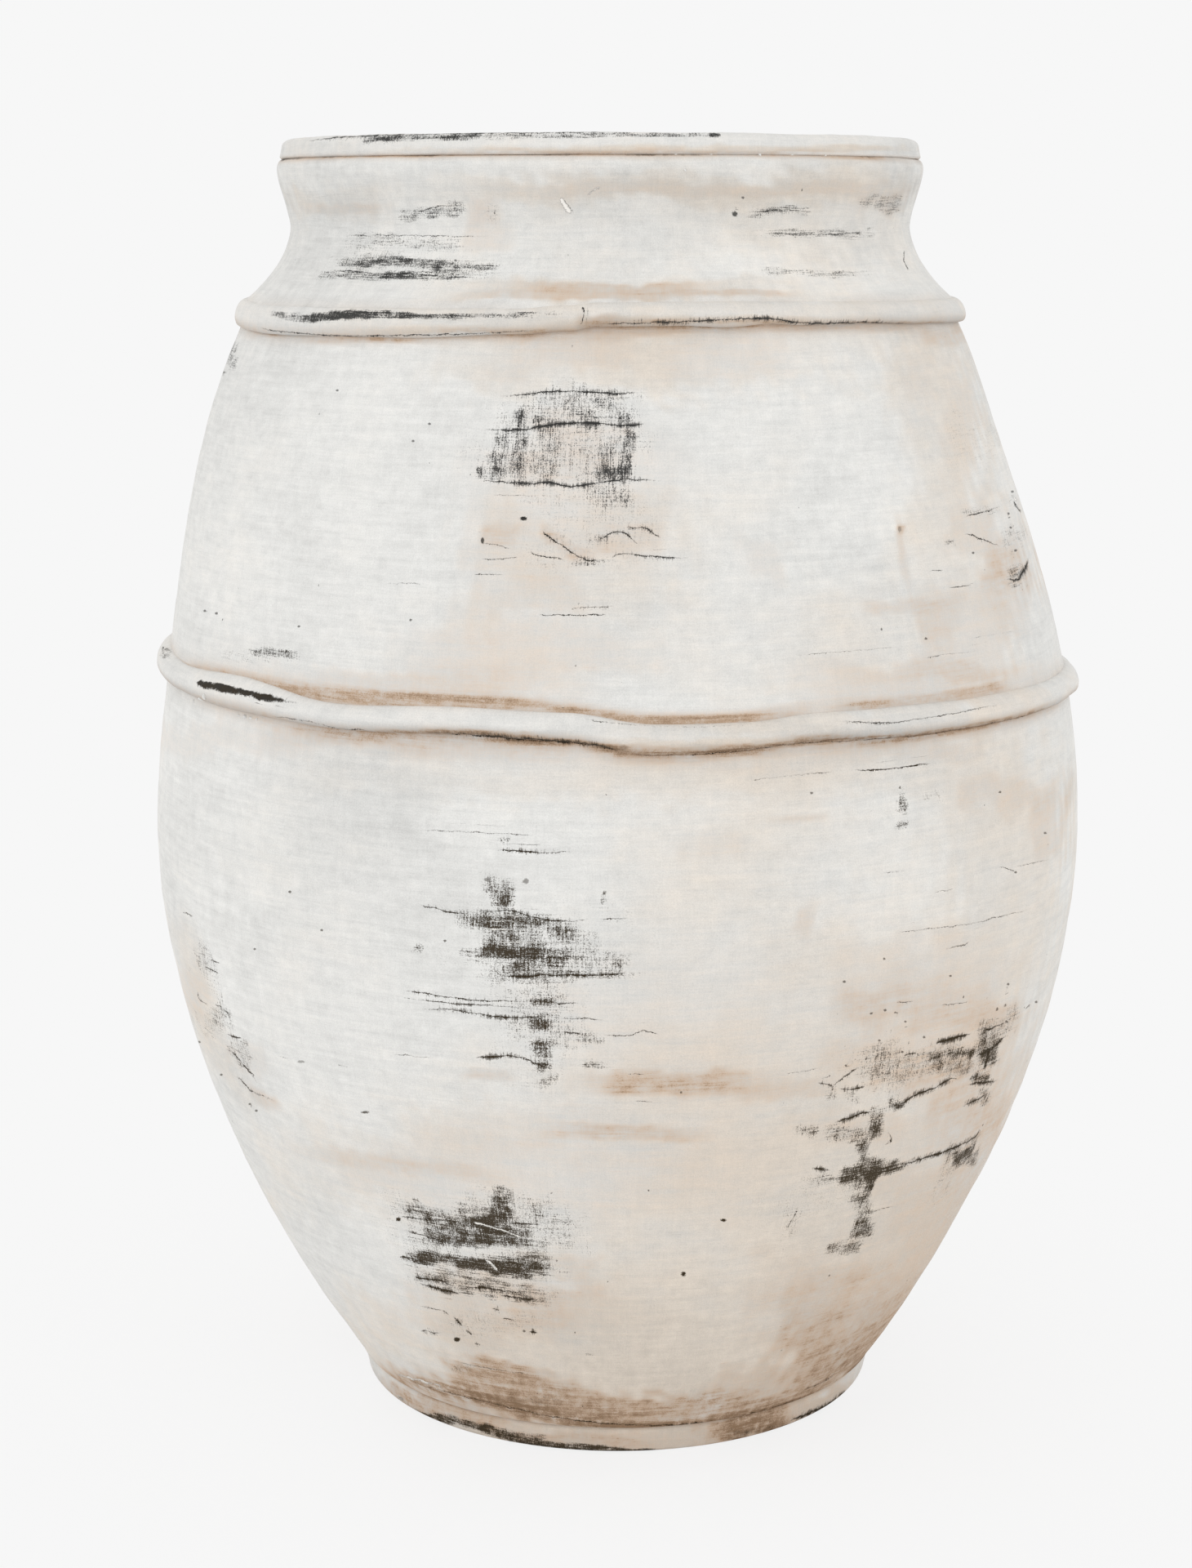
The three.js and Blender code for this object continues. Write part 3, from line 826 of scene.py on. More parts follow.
# A line scratched or drawn by a tool, with broken edges and short threads hanging from it
def strokeTree():
    tree, taken, leave = newTree(
        "toolStroke", "ShaderNodeTree",
        {"Stroke": "Vector", "Patchy": 0.5, "Mottle": 0.5, "Grain": 0.5, "Upright": 0.5, "Across": 0.5},
        {"Dark": "Float", "Pale": "Float", "Rise": "Float"})
    gap, thick, ink = parts(taken["Stroke"])
    depth = ink.size()
    wobble = (taken["Mottle"] - 0.5) * 0.8 + (taken["Grain"] - 0.5) * 0.5
    width = (thick * (0.22 + taken["Patchy"] * 0.80 + (depth - 1.0).most(0.0) * 0.6)
             * (0.35 + depth.least(1.0) * 0.65))
    profile = smooth((gap + wobble).size() / width.most(0.02), 2.0, 0.2)
    weave = taken["Across"] * 0.3 + taken["Upright"] * 0.35 + taken["Grain"] * 0.35
    line = (smooth(profile * (0.26 + depth * 0.62 + taken["Patchy"] * 0.42) - weave * 0.95, 0.0, 0.6)
            * smooth(depth, 0.0, 0.5))
    reach = smooth(gap.size(), 3.2, 0.3) * smooth(thick, 0.15, 0.55) * depth
    threads = reach * (0.35 + taken["Patchy"] * 0.65) - taken["Upright"] * 0.65 - taken["Grain"] * 0.25
    hanging = smooth(threads, 0.0, 0.45) * 0.8
    isDark = ramp(ink, -0.01, 0.01)
    plug(tree, line.most(hanging) * isDark, leave.inputs["Dark"])
    plug(tree, line * (1 - isDark), leave.inputs["Pale"])
    plug(tree, line * (0.5 - isDark), leave.inputs["Rise"])
    return tree


# The wash itself: cool and creamy clouds, brush marks, brown where it lies thin
def washTree():
    tree, taken, leave = newTree(
        "limewashColour", "ShaderNodeTree",
        {"Warm": 0.3, "Brown": 0.0, "Crease": 0.0, "Shade": 0.0, "Across": 0.5, "Upright": 0.5, "Grain": 0.5,
         "Mottle": 0.5, "Patchy": 0.5, "Clouds": 0.5, "Sweep": 0.5, "Comb": 0.5},
        {"Color": "Color", "Height": "Float"})
    across, upright, grain, mottle = (taken[label] - 0.5 for label in ("Across", "Upright", "Grain", "Mottle"))
    patchy, clouds, sweep, comb = (taken[label] - 0.5 for label in ("Patchy", "Clouds", "Sweep", "Comb"))
    warm = taken["Warm"] + clouds * 0.5 + mottle * 0.06 + patchy * 0.06 + sweep * 0.2 + comb * 0.04
    colour = blendColours(tree, smooth(warm, -0.05, 1.05), wash["cool"], wash["cream"])
    hairs = (smooth(across + mottle * 0.5, 0.42, 0.62) * 0.14
             + smooth(upright + clouds * 0.5, 0.46, 0.66) * 0.08)
    # Brown where the wash lies thin, and in corners beside edges as dirt and painted shade
    thin = (taken["Brown"] * (0.72 + mottle * 0.5 + patchy * 0.45 + grain * 0.4 + sweep * 0.6 + clouds * 0.5
                              + across * 0.3)
            + taken["Crease"] * (0.45 + sweep * 0.3) + hairs * (0.35 + taken["Warm"]))
    colour = blendColours(tree, ramp(thin, 0.0, 1.0), colour, wash["brown"])
    deeper = smooth(thin + grain * 0.3 + across * 0.2 + sweep * 0.2, 0.7, 1.9)
    colour = blendColours(tree, deeper, colour, wash["deepBrown"])
    # Shade darkens the wash as painted shade, and lightens it as painted light where it is below 0
    level = (1.0 + mottle * 0.08 + patchy * 0.08 + sweep * 0.11 + comb * 0.03 + grain * 0.12 + across * 0.05
             + upright * 0.04 + clouds * 0.13 - taken["Shade"] * 0.3)
    toned = put(tree, "ShaderNodeVectorMath", {0: colour, "Scale": level}, operation="SCALE")
    height = (sweep * 0.14 + mottle * 0.07 + patchy * 0.06 + comb * 0.03 + across * 0.05 + upright * 0.04
              + grain * 0.05)
    plug(tree, toned, leave.inputs["Color"])
    plug(tree, height, leave.inputs["Height"])
    return tree


# Scattered pin holes and specks
def pitTree():
    tree, taken, leave = newTree("pinHoles", "ShaderNodeTree", {"Spacing": 11.0, "Share": 0.25, "Grain": 0.5},
                                 {"Dark": "Float"})
    x, y, z = parts(onDrum(tree))
    spacing = taken["Spacing"] * mm
    cells = put(tree, "ShaderNodeTexVoronoi",
                {"Vector": vector(tree, x / spacing, y / spacing, z / spacing), "Scale": 1.0}, feature="F1")
    chance, big, _ = parts(cells.beside("Color"))
    far = cells * taken["Spacing"] + (taken["Grain"] - 0.5) * 0.35
    size = 0.13 + big * big * 0.42
    spots = smooth(far / size, 1.2, 0.7) * smooth(chance - taken["Share"], 0.0, -0.02)
    plug(tree, spots * 0.75, leave.inputs["Dark"])
    return tree


def useGroup(tree, group, brushed, **takes):
    # Places a shared effect, fed with the marks of the brush that it asks for
    asked = [item.name for item in group.interface.items_tree if item.in_out == "INPUT"]
    marks = {label: brushed[label] for label in asked if label in brushed}
    return put(tree, "ShaderNodeGroup", {**marks, **takes}, node_tree=group)


def paintLayer(tree, name, output="Vector"):
    return put(tree, "ShaderNodeAttribute", output=output, attribute_type="GEOMETRY", attribute_name=name)


def emptyTree(owner):
    # The node tree of a new material or world
    owner.use_nodes = True
    owner.node_tree.nodes.clear()
    return owner.node_tree


def newFinish(name):
    # A material, its tree, and the marks of the brush
    material = bpy.data.materials.new(name)
    tree = emptyTree(material)
    marks = useGroup(tree, brushMarks, {})
    return material, tree, {output.name: Field(tree, output) for output in marks.socket.node.outputs}


def coated(tree, colour, roughness, specular, relief, height):
    bump = put(tree, "ShaderNodeBump", {"Strength": relief, "Distance": mm, "Height": height})
    shader = put(tree, "ShaderNodeBsdfPrincipled",
                 {"Base Color": colour, "Roughness": roughness, "Normal": bump, "Specular IOR Level": specular})
    put(tree, "ShaderNodeOutputMaterial", {"Surface": shader})


def washFinish(name, look):
    material, tree, brushed = newFinish(name)
    worn, brown, warm = parts(paintLayer(tree, "wear"))
    hatch, creaseDirtAndShade, shade = parts(paintLayer(tree, "detail"))
    inner = paintLayer(tree, "inner", "Fac")
    grain, mottle = brushed["Grain"] - 0.5, brushed["Mottle"] - 0.5
    clouds, sweep = brushed["Clouds"] - 0.5, brushed["Sweep"] - 0.5
    rub = useGroup(tree, clothRub, brushed, Worn=worn, Hatch=hatch)
    pits = useGroup(tree, pinHoles, brushed, Spacing=look["pitSpacing"],
                    Share=look["pitShare"] + brown * 0.22 + worn * 0.2)
    coat = useGroup(tree, limewashColour, brushed, Warm=warm + look["warmth"], Brown=brown + look["thinness"],
                    Crease=creaseDirtAndShade, Shade=shade)
    dark, pale, rise = rub.most(pits), 0.0, 0.0
    for layer in ("strokeA", "strokeB", "strokeC"):
        stroke = useGroup(tree, toolStroke, brushed, Stroke=paintLayer(tree, layer))
        dark = dark.most(stroke)
        pale = stroke.beside("Pale").most(pale)
        rise = stroke.beside("Rise") + rise
    aside, below, depth = parts(paintLayer(tree, "spot"))
    around = (aside * aside + below * below).sum("SQRT") + grain * 0.5 + mottle * 0.4
    dark = dark.most(smooth(around, 1.3, 0.7) * depth.least(1.0))
    # The darkest corners beside edges turn to dark clay: dirt and painted shade
    dark = dark.most(smooth(creaseDirtAndShade + mottle * 0.4, 0.80, 1.35) * 0.85)
    z = parts(ownPlace(tree))[2] / mm
    bareness = smooth(inner, 0.4, 0.6) * smooth(z + clouds * 24 + sweep * 16, look["washedTo"] + 10,
                                                look["washedTo"] - 10)
    darkClay = blendColours(tree, smooth(z + mottle * 60 - warm * 80, 400, 250), wash["darkBlue"],
                            wash["dark"])
    bare = blendColours(tree, brushed["Mottle"] * 0.5 + brushed["Sweep"] * 0.5, wash["clay"],
                        wash["clayPale"])
    colour = blendColours(tree, dark, coat, darkClay)
    colour = blendColours(tree, pale, colour, wash["ridge"])
    colour = blendColours(tree, bareness, colour, bare)
    coated(tree, colour, 0.84 - dark * 0.14 + mottle * 0.08, 0.3 - dark * 0.2, look["bump"],
           coat.beside("Height") - rub * 0.15 + rise * 0.9 + pale * 0.3)
    return material


def clayFinish(name):
    material, tree, brushed = newFinish(name)
    mottle, sweep, grain, clouds = (brushed[label] for label in ("Mottle", "Sweep", "Grain", "Clouds"))
    tone = mottle * 0.35 + sweep * 0.25 + grain * 0.15 + clouds * 0.25
    coated(tree, blendColours(tree, tone, wash["clay"], wash["clayPale"]), 0.86 + mottle * 0.08, 0.25, 0.8,
           mottle * 0.2 + grain * 0.15)
    return material


setCamera()
unevenClay = unevenTree()
thrownSection, laidCord, slipCrumbs = thrownTree(), cordTree(), crumbTree()
brushMarks, clothRub, toolStroke = brushTree(), rubTree(), strokeTree()
limewashColour, pinHoles = washTree(), pitTree()
# Inside, the wash reaches down to washedTo. It and pitSpacing are in millimetres.
washed = {"washedTo": 492.0, "warmth": 0.0, "thinness": 0.0, "pitSpacing": 6.0, "pitShare": 0.07, "bump": 0.8}
whitewash = washFinish("whitewashedClay", washed)
rubbedWash = washFinish("rubbedWhitewash", {**washed, "warmth": 0.1, "thinness": 0.05, "pitShare": 0.05})
bareClay = clayFinish("bareClay")
print("finishes made")

clay = {"Dent Depth": 0.55, "Dent Size": 70.0, "Ridge Depth": 0.22, "Ridge Pitch": 13.0, "Lump Depth": 0.10,
        "Front Closeness": 0.3}

footRing = {"columns": 420, "clay": {**clay, "Dent Size": 26.0, "Dent Depth": 0.45, "Lump Depth": 0.2}}
baseDisc = {"columns": 200, "clay": {**clay, "Ridge Depth": 0.0}}
lowerWall = {"columns": 520, "rowSpacing": 2.2, "clay": clay}
upperWall = {"columns": 560, "rowSpacing": 1.6, "clay": clay}
neckPiece = {"columns": 560, "rowSpacing": 0.9, "clay": {**clay, "Dent Depth": 0.4}}
rimLip = {"columns": 560, "clay": {**clay, "Dent Size": 30.0, "Dent Depth": 0.3, "Lump Depth": 0.15}}

pieces = {}
for node, outline, look, finish in (
        ("foot_ring", footRingOutline, footRing, rubbedWash),
        ("base_disc", baseDiscOutline, baseDisc, bareClay),
        ("lower_wall", lowerWallOutline, lowerWall, whitewash),
        ("upper_wall", upperWallOutline, upperWall, whitewash),
        ("neck", neckOutline, neckPiece, whitewash), ("rim_lip", rimLipOutline, rimLip, rubbedWash)):
    pieces[node] = thrown("worn_" + node, outline(), look, finish)
print("sections thrown")

# Cords. A station has its angle in degrees from the front towards +X, then the cord's rise above the seam and
# its height, both in millimetres.
bellyCord = {
    "columns": 760, "stand": 5.4,
    "stations": (
        (-90, 5, 11), (-68, 3.6, 10), (-50, 4.3, 13.5), (-34, 2, 9.2), (-17, 4.2, 9.4), (-6, 3.2, 10.4),
        (4, -1.3, 11), (14, -0.7, 9.8), (23, 1, 10), (32, 0, 11.4), (50, -1.2, 10.6), (68, -2.4, 10),
        (90, -4.8, 11), (135, -2, 10.5), (180, 1.2, 11.5), (225, 3.2, 10.5)),
    "clay": {**clay, "Finger Depth": 0.35, "Finger Pitch": 20.0, "Lump Depth": 0.15},
}
shoulderCord = {
    "columns": 640, "radius": 154.4,
    "stations": (
        (-90, -1, 10.6), (-60, -2.7, 11.6), (-30, -1.8, 10.8), (-12, -0.6, 9.6), (-5, 0.6, 9), (0, 2, 8.6),
        (12, 2.2, 8.4), (18, 1.8, 9.2), (25, 2.3, 8.4), (32, 1.6, 9.2), (42, 1.4, 8.8), (57, 0.6, 9.4),
        (90, -0.6, 10), (135, 0.4, 10), (180, -0.6, 11), (225, 0.2, 10)),
    "clay": {**clay, "Finger Depth": 0.25, "Finger Pitch": 16.0, "Lump Depth": 0.15},
}


def atStations(stations, angles):
    # Rise and height of a cord, eased between its stations
    rows = np.array(stations + ((stations[0][0] + 360, stations[0][1], stations[0][2]),), float)
    angles = (angles - rows[0, 0]) % 360 + rows[0, 0]
    step = np.clip(np.searchsorted(rows[:, 0], angles, side="right") - 1, 0, len(rows) - 2)
    share = eased((angles - rows[step, 0]) / (rows[step + 1, 0] - rows[step, 0]))
    return rows[step, 1:] + (rows[step + 1, 1:] - rows[step, 1:]) * share[:, None]


def laid(name, cord, seam, lowerLine, upperLine, section, finish):
    turn = 2 * math.pi * (np.arange(cord["columns"]) / cord["columns"] - 0.5)
    angles = np.degrees(turn - cord["clay"]["Front Closeness"] * np.sin(turn))
    rise, height = atStations(cord["stations"], angles).T
    lowZ, highZ = seam + rise - height / 2, seam + rise + height / 2
    lowRadius = np.interp(lowZ, lowerLine[:, 1], lowerLine[:, 0])
    highRadius = np.interp(highZ, upperLine[:, 1], upperLine[:, 0])
    flat = np.zeros(len(angles))
    stand = flat + cord["stand"] if "stand" in cord else cord["radius"] - (lowRadius + highRadius) / 2
    source = pointMesh(name + "Path", np.stack([angles, flat, flat], 1),
                       lower=np.stack([lowRadius, flat, lowZ], 1) * mm,
                       upper=np.stack([highRadius, flat, highZ], 1) * mm, stand=stand * mm)
    shape = addObject(name + "Section", pointMesh(name + "Section", [(x, 0, z) for x, z in section]))
    piece = grown(name, source, laidCord,
                  {**cord["clay"], "Columns": cord["columns"], "Section": shape, "Finish": finish})
    bpy.data.objects.remove(shape)
    return piece


def roundSection(steps, lowest, sag, sink):
    # Shares of stand and height: round in front, sagging a little, with its back sunk in the wall
    turn = np.linspace(-math.pi / 2, math.pi / 2, steps)
    bulge, share = np.cos(turn) ** lowest, 0.5 + 0.5 * np.sin(turn) - sag * np.cos(turn)
    return [(-sink, 0.06)] + list(zip(bulge, share)) + [(-sink, 0.94)]


pieces["belly_cordon"] = laid("worn_belly_cordon", bellyCord, bellySeam, bodyOuter, bodyOuter,
                              roundSection(20, 0.9, 0.05, 0.25), rubbedWash)
pieces["shoulder_cordon"] = laid("worn_shoulder_cordon", shoulderCord, neckSeam, bodyOuter, neckOuter,
                                 roundSection(18, 0.75, 0.03, 0.6), rubbedWash)
print("cords laid")

# Marks seen on each piece, by the photograph's pixels. Shade marks are painted shade, and painted light where
# their depth is below 0.
bellyCrevice = ((317, 874), (376, 883), (415, 892), (473, 895), (522, 896), (571, 899), (620, 903),
                (680, 907), (726, 912), (744, 916), (765, 923), (794, 925), (840, 924), (879, 922),
                (922, 918), (964, 911), (1019, 908), (1058, 906), (1097, 903), (1136, 899), (1174, 893),
                (1213, 886), (1252, 877), (1291, 862), (1306, 855))
lowerLeft = ((212, 1095), (236, 1180), (252, 1240), (268, 1285), (294, 1330), (330, 1366))
# Dark lines along the crevice under the belly cord: painted shadow, partly dark clay
crevice = (dict(path=bellyCrevice[3:11], thick=0.55, deep=0.95, fade=(0.5, 0.2)),
           dict(path=bellyCrevice[10:], thick=0.22, deep=0.75, fade=(0.05, 0.2)),
           dict(path=bellyCrevice[:4], thick=0.25, deep=0.6, fade=lineFade))
neckMarks = {
    "shade": (
        patch(740, 238, 800, 70, 0.20, soft=1.2), patch(400, 270, 150, 160, 0.32, soft=1.2),
        patch(1040, 262, 200, 90, 0.14, soft=1.2), patch(830, 232, 200, 40, 0.12, soft=1.2),
        patch(1105, 225, 60, 60, 0.3, soft=1.2), patch(960, 330, 240, 60, -0.25, soft=1.2)),
    "warm": (
        patch(900, 260, 600, 180, 0.35, soft=1.3), patch(800, 232, 560, 34, 0.4),
        patch(760, 355, 420, 26, 0.5), patch(420, 250, 120, 40, 0.3)),
    "brown": (
        patch(860, 232, 460, 16, 0.28), patch(430, 255, 100, 14, 0.30), patch(585, 262, 46, 30, 0.32),
        patch(590, 292, 60, 30, 0.22), patch(745, 352, 230, 13, 0.62), patch(890, 359, 150, 7, 0.55),
        patch(700, 362, 240, 10, 0.5), patch(1085, 250, 60, 34, 0.25)),
    "worn": (
        patch(490, 297, 140, 22, 0.34, hatch=0.4), patch(445, 318, 90, 14, 0.36, hatch=0.1),
        patch(495, 322, 130, 11, 0.55, hatch=0.1), patch(560, 328, 80, 10, 0.45, hatch=0.1),
        patch(480, 339, 40, 9, 0.85, hatch=0.2), patch(515, 338, 130, 8, 0.5, hatch=0.1),
        patch(520, 330, 200, 34, 0.16, hatch=0.2, soft=1.2), patch(420, 336, 70, 12, 0.45, hatch=0.1),
        patch(528, 258, 60, 16, 0.5, hatch=0.3, turn=-14), patch(600, 262, 20, 22, 0.22),
        patch(955, 258, 64, 12, 0.45, hatch=0.1), patch(1082, 250, 44, 26, 0.40, hatch=0.3),
        patch(1000, 286, 130, 10, 0.42, hatch=0.0), patch(1000, 333, 120, 10, 0.36, hatch=0.2),
        patch(900, 262, 6, 6, 0.9)),
    "specks": ((558, 319), (910, 242)),
    "strokes": (
        line(0.3, 0.7, 412, 289, 470, 288, 540, 289, 612, 289),
        line(0.4, 0.8, 400, 331, 430, 332, 470, 335, 515, 333, 565, 334),
        line(0.4, 0.7, 505, 263, 530, 254, 553, 251), line(0.4, 0.8, 928, 259, 955, 257, 990, 258),
        line(0.28, 0.8, 935, 286, 1000, 287, 1062, 286), line(0.3, 0.7, 1108, 304, 1107, 318, 1114, 336),
        line(0.9, -1.6, 687, 243, 692, 252, 699, 262, fade=(0.05, 0.1)),
        line(0.3, 0.5, 691, 244, 696, 252, 703, 261, fade=(0.05, 0.1)),
        line(0.6, -0.9, 720, 239, 727, 233, 735, 229, fade=(0.05, 0.1))),
    # Brown under the lip: brown wash and painted shade
    "bands": (
        stripe("brown", 7, 0.55, 350, 196, 430, 191, 560, 189, 730, 188, 900, 189, 1040, 192, 1120, 197),),
}
rimLipMarks = {
    "shade": (
        patch(1080, 182, 100, 14, 0.2), patch(400, 182, 130, 24, 0.25, soft=1.2),
        patch(740, 186, 700, 4, 0.15)),
    "warm": (patch(900, 182, 420, 8, 0.7), patch(640, 184, 300, 6, 0.5)),
    "brown": (patch(820, 185, 420, 4, 0.6),),
    "worn": (
        patch(525, 169, 110, 7, 0.75, hatch=0.3), patch(480, 171, 50, 7, 0.5, hatch=0.6),
        patch(640, 166, 170, 5, 0.6, hatch=0.3), patch(790, 165, 150, 5, 0.6, hatch=0.3),
        patch(877, 166, 14, 5, 1.2), patch(590, 171, 110, 6, 0.3, hatch=0.8)),
    "strokes": (line(0.5, 0.75, 352, 175, 420, 168, 500, 165, 600, 163, 720, 162, 830, 162),),
}
shoulderCordMarks = {
    "shade": (patch(680, 392, 260, 18, 0.32, soft=1.2), patch(1120, 390, 140, 18, 0.25, soft=1.2)),
    "warm": (patch(800, 386, 900, 60, 0.3), patch(860, 392, 300, 10, 0.6), patch(600, 405, 260, 9, 0.5)),
    "brown": (
        patch(738, 392, 40, 14, 0.5), patch(620, 406, 150, 6, 0.55), patch(850, 393, 220, 5, 0.6),
        patch(1090, 396, 160, 5, 0.5)),
    "worn": (
        patch(345, 384, 14, 7, 0.6), patch(405, 386, 90, 11, 0.95, hatch=0.75),
        patch(460, 387, 90, 9, 0.9, hatch=0.3), patch(535, 388, 90, 7, 0.7, hatch=0.1),
        patch(610, 387, 100, 5, 0.45, hatch=0.0), patch(665, 383, 60, 4, 0.5, hatch=0.0)),
    "strokes": (
        line(0.4, 1.2, 714, 376, 716, 385, 712, 397, fade=(0.05, 0.05)),
        # The two long lines lie in the crevice under the cord: painted shadow, partly dark clay
        line(0.35, 0.8, 306, 396, 330, 404, 370, 408, 411, 411, 470, 411, 520, 410, 564, 409, 640, 405,
             684, 401),
        line(0.5, 0.95, 716, 396, 760, 396, 828, 394, 900, 391, 940, 390, 992, 396, 1060, 395, 1120, 397,
             1172, 396)),
}
upperWallMarks = {
    "shade": (
        patch(290, 480, 120, 180, 0.16, soft=1.2), patch(990, 400, 200, 110, -0.25, soft=1.2),
        patch(1050, 600, 120, 120, -0.1, soft=1.2)),
    "warm": (
        patch(690, 440, 300, 100, 0.45), patch(880, 430, 260, 90, 0.35), patch(700, 680, 280, 140, 0.45),
        patch(1160, 520, 130, 280, 0.45, soft=1.3), patch(1170, 690, 170, 130, 0.2, soft=1.3),
        patch(1110, 790, 300, 150, 0.36, soft=1.3), patch(1090, 430, 150, 80, 0.35, soft=1.2),
        patch(700, 790, 460, 120, 0.25, soft=1.3), patch(900, 640, 200, 160, 0.12, soft=1.3),
        patch(300, 810, 170, 60, 0.15), patch(1000, 640, 640, 560, 0.06, soft=1.3)),
    "brown": (
        patch(700, 432, 150, 44, 0.28), patch(884, 432, 130, 54, 0.22), patch(840, 404, 140, 12, 0.45),
        patch(700, 412, 150, 12, 0.4), patch(700, 610, 220, 160, 0.24, soft=1.2),
        patch(510, 838, 340, 40, 0.42, soft=1.2), patch(1130, 838, 280, 50, 0.32, soft=1.2),
        patch(1240, 700, 60, 110, 0.3, soft=1.2), patch(1162, 412, 60, 18, 0.45),
        patch(1128, 480, 30, 90, 0.12, soft=1.2), patch(1182, 520, 48, 120, 0.18, soft=1.2),
        patch(1196, 640, 70, 70, 0.22, turn=20), patch(1102, 648, 12, 12, 0.6),
        patch(1108, 690, 8, 110, 0.3, turn=-10), patch(1110, 742, 90, 18, 0.35),
        patch(1150, 760, 46, 90, 0.42), patch(1205, 760, 60, 110, 0.2), patch(1170, 822, 130, 26, 0.28),
        patch(1235, 700, 60, 50, 0.34), patch(612, 658, 50, 24, 0.45), patch(692, 664, 74, 14, 0.5, turn=34),
        patch(760, 664, 80, 30, 0.25), patch(690, 545, 110, 80, 0.22), patch(650, 725, 150, 90, 0.25),
        patch(650, 795, 300, 50, 0.25), patch(940, 690, 60, 44, 0.18), patch(330, 405, 60, 14, 0.25),
        patch(455, 412, 90, 14, 0.3)),
    "worn": (
        patch(612, 556, 20, 66, 0.4, hatch=1.0), patch(635, 552, 14, 84, 0.44, hatch=1.0),
        patch(635, 512, 16, 24, 0.5, hatch=1.0), patch(661, 514, 18, 14, 0.42, hatch=1.0),
        patch(613, 582, 24, 13, 0.4, hatch=1.0), patch(666, 550, 24, 70, 0.28, hatch=1.0),
        patch(590, 580, 9, 16, 0.55, hatch=1.0), patch(756, 513, 24, 13, 0.55, hatch=1.0),
        patch(754, 579, 42, 18, 0.62, hatch=0.8), patch(766, 552, 15, 50, 0.5, hatch=1.0),
        patch(742, 560, 18, 40, 0.32, hatch=1.0), patch(716, 516, 24, 24, 0.4, hatch=1.0),
        patch(750, 606, 50, 40, 0.34, hatch=1.0), patch(730, 650, 180, 90, 0.16, hatch=1.0, soft=1.2),
        patch(685, 540, 180, 110, 0.30, hatch=1.0, soft=1.2), patch(641, 635, 9, 5, 1.8),
        patch(591, 662, 4, 8, 0.9), patch(720, 495, 120, 30, 0.24, hatch=1.0, soft=1.2),
        patch(735, 658, 30, 9, 0.35, hatch=1.0), patch(730, 690, 40, 10, 0.28, hatch=1.0),
        patch(730, 742, 46, 8, 0.38, hatch=0.8), patch(274, 433, 24, 34, 0.5, hatch=0.3),
        patch(335, 799, 44, 10, 0.52, hatch=0.6), patch(320, 803, 100, 18, 0.22),
        patch(1205, 625, 50, 14, 0.28, hatch=0.6), patch(1195, 540, 60, 60, 0.16, hatch=0.9),
        patch(1245, 705, 22, 22, 0.42, hatch=0.4), patch(1245, 660, 26, 40, 0.26, hatch=0.4),
        patch(1102, 648, 4, 7, 0.45), patch(1165, 665, 14, 5, 0.5)),
    "specks": (
        (251, 748), (1240, 602), (1134, 782), (413, 478), (526, 519), (506, 540), (265, 751), (366, 767),
        (503, 759), (1192, 677), (1235, 629), (1244, 674), (1238, 646)),
    "strokes": (
        line(0.45, 1.05, 606, 485, 640, 484, 665, 480, 705, 479, 735, 481, 765, 482, 797, 480),
        line(0.62, 1.15, 575, 524, 605, 526, 640, 526, 670, 521, 700, 518, 735, 519, 768, 521, 792, 518,
             fade=(0.3, 0.05)),
        line(0.5, 1.05, 578, 589, 600, 589, 640, 592, 672, 591, 690, 594, 705, 595, 735, 591, 765, 587,
             800, 588, 824, 587), line(0.2, 0.5, 600, 606, 650, 607, 700, 606),
        line(0.42, 0.95, 662, 648, 672, 657, 690, 669, 706, 680, 722, 686, 746, 686),
        line(0.3, 0.8, 588, 684, 612, 685, 640, 681), line(0.4, 0.8, 648, 673, 656, 680, 680, 683, 700, 687),
        line(0.45, 0.85, 748, 684, 756, 679, 775, 678, 792, 681, 822, 683, 862, 682),
        line(0.5, 0.85, 722, 660, 740, 658, 750, 652, 765, 652, 776, 661, 786, 669),
        line(0.5, 0.8, 762, 644, 776, 647, 792, 647, 803, 655, 816, 661),
        line(0.3, 0.7, 586, 664, 610, 668, 628, 672),
        line(0.25, 0.9, 661, 753, 700, 753, 742, 753, fade=(0.05, 0.05)),
        line(0.4, 0.7, 694, 746, 720, 744, 762, 742), line(0.25, 0.6, 576, 703, 622, 704),
        line(0.25, 0.55, 470, 714, 520, 715), line(0.5, 0.9, 262, 428, 290, 430),
        line(0.6, 0.9, 256, 456, 280, 456), line(0.4, 0.8, 1182, 631, 1200, 628, 1222, 622),
        line(0.4, 0.8, 1180, 652, 1195, 657, 1212, 664, 1228, 670),
        line(0.7, 1.1, 1262, 676, 1258, 690, 1252, 702, 1246, 710, 1236, 710, 1224, 710, fade=(0.4, 0.4)),
        line(0.4, 0.9, 1240, 612, 1246, 622, 1251, 628), line(0.3, 0.7, 1160, 720, 1180, 718, 1196, 713),
        line(0.3, 0.9, 1139, 699, 1156, 698), line(0.22, 0.4, 1124, 806, 1160, 801, 1210, 795),
        line(0.2, 0.3, 1180, 782, 1220, 776, 1250, 772), line(0.2, 0.4, 960, 803, 1040, 797, 1120, 790),
        line(0.8, -1.0, 1239, 606, 1247, 614, fade=(0.05, 0.05))),
    "bands": (
        # Brown under the shoulder cord: brown wash and painted shadow
        stripe("brown", 9, 0.6, 300, 402, 350, 411, 411, 416, 564, 413, 684, 405, 828, 399, 992, 401,
             1176, 402),
        stripe("brown", 26, 0.72, 214, 812, 262, 826, 330, 842, 390, 850, 470, 858, 560, 862, 640, 864,
             700, 872, 787, 884, 885, 884, 960, 876, 1020, 866),
        stripe("brown", 14, 0.6, 1020, 868, 1110, 858, 1180, 850, 1240, 838),
        stripe("brown", 9, 0.9, 200, 790, 205, 802, 222, 814, 250, 824),
        stripe("brown", 8, 0.5, 420, 846, 520, 853, 600, 856, 650, 862, 700, 870, 787, 881, 885, 880,
             960, 874)),
}
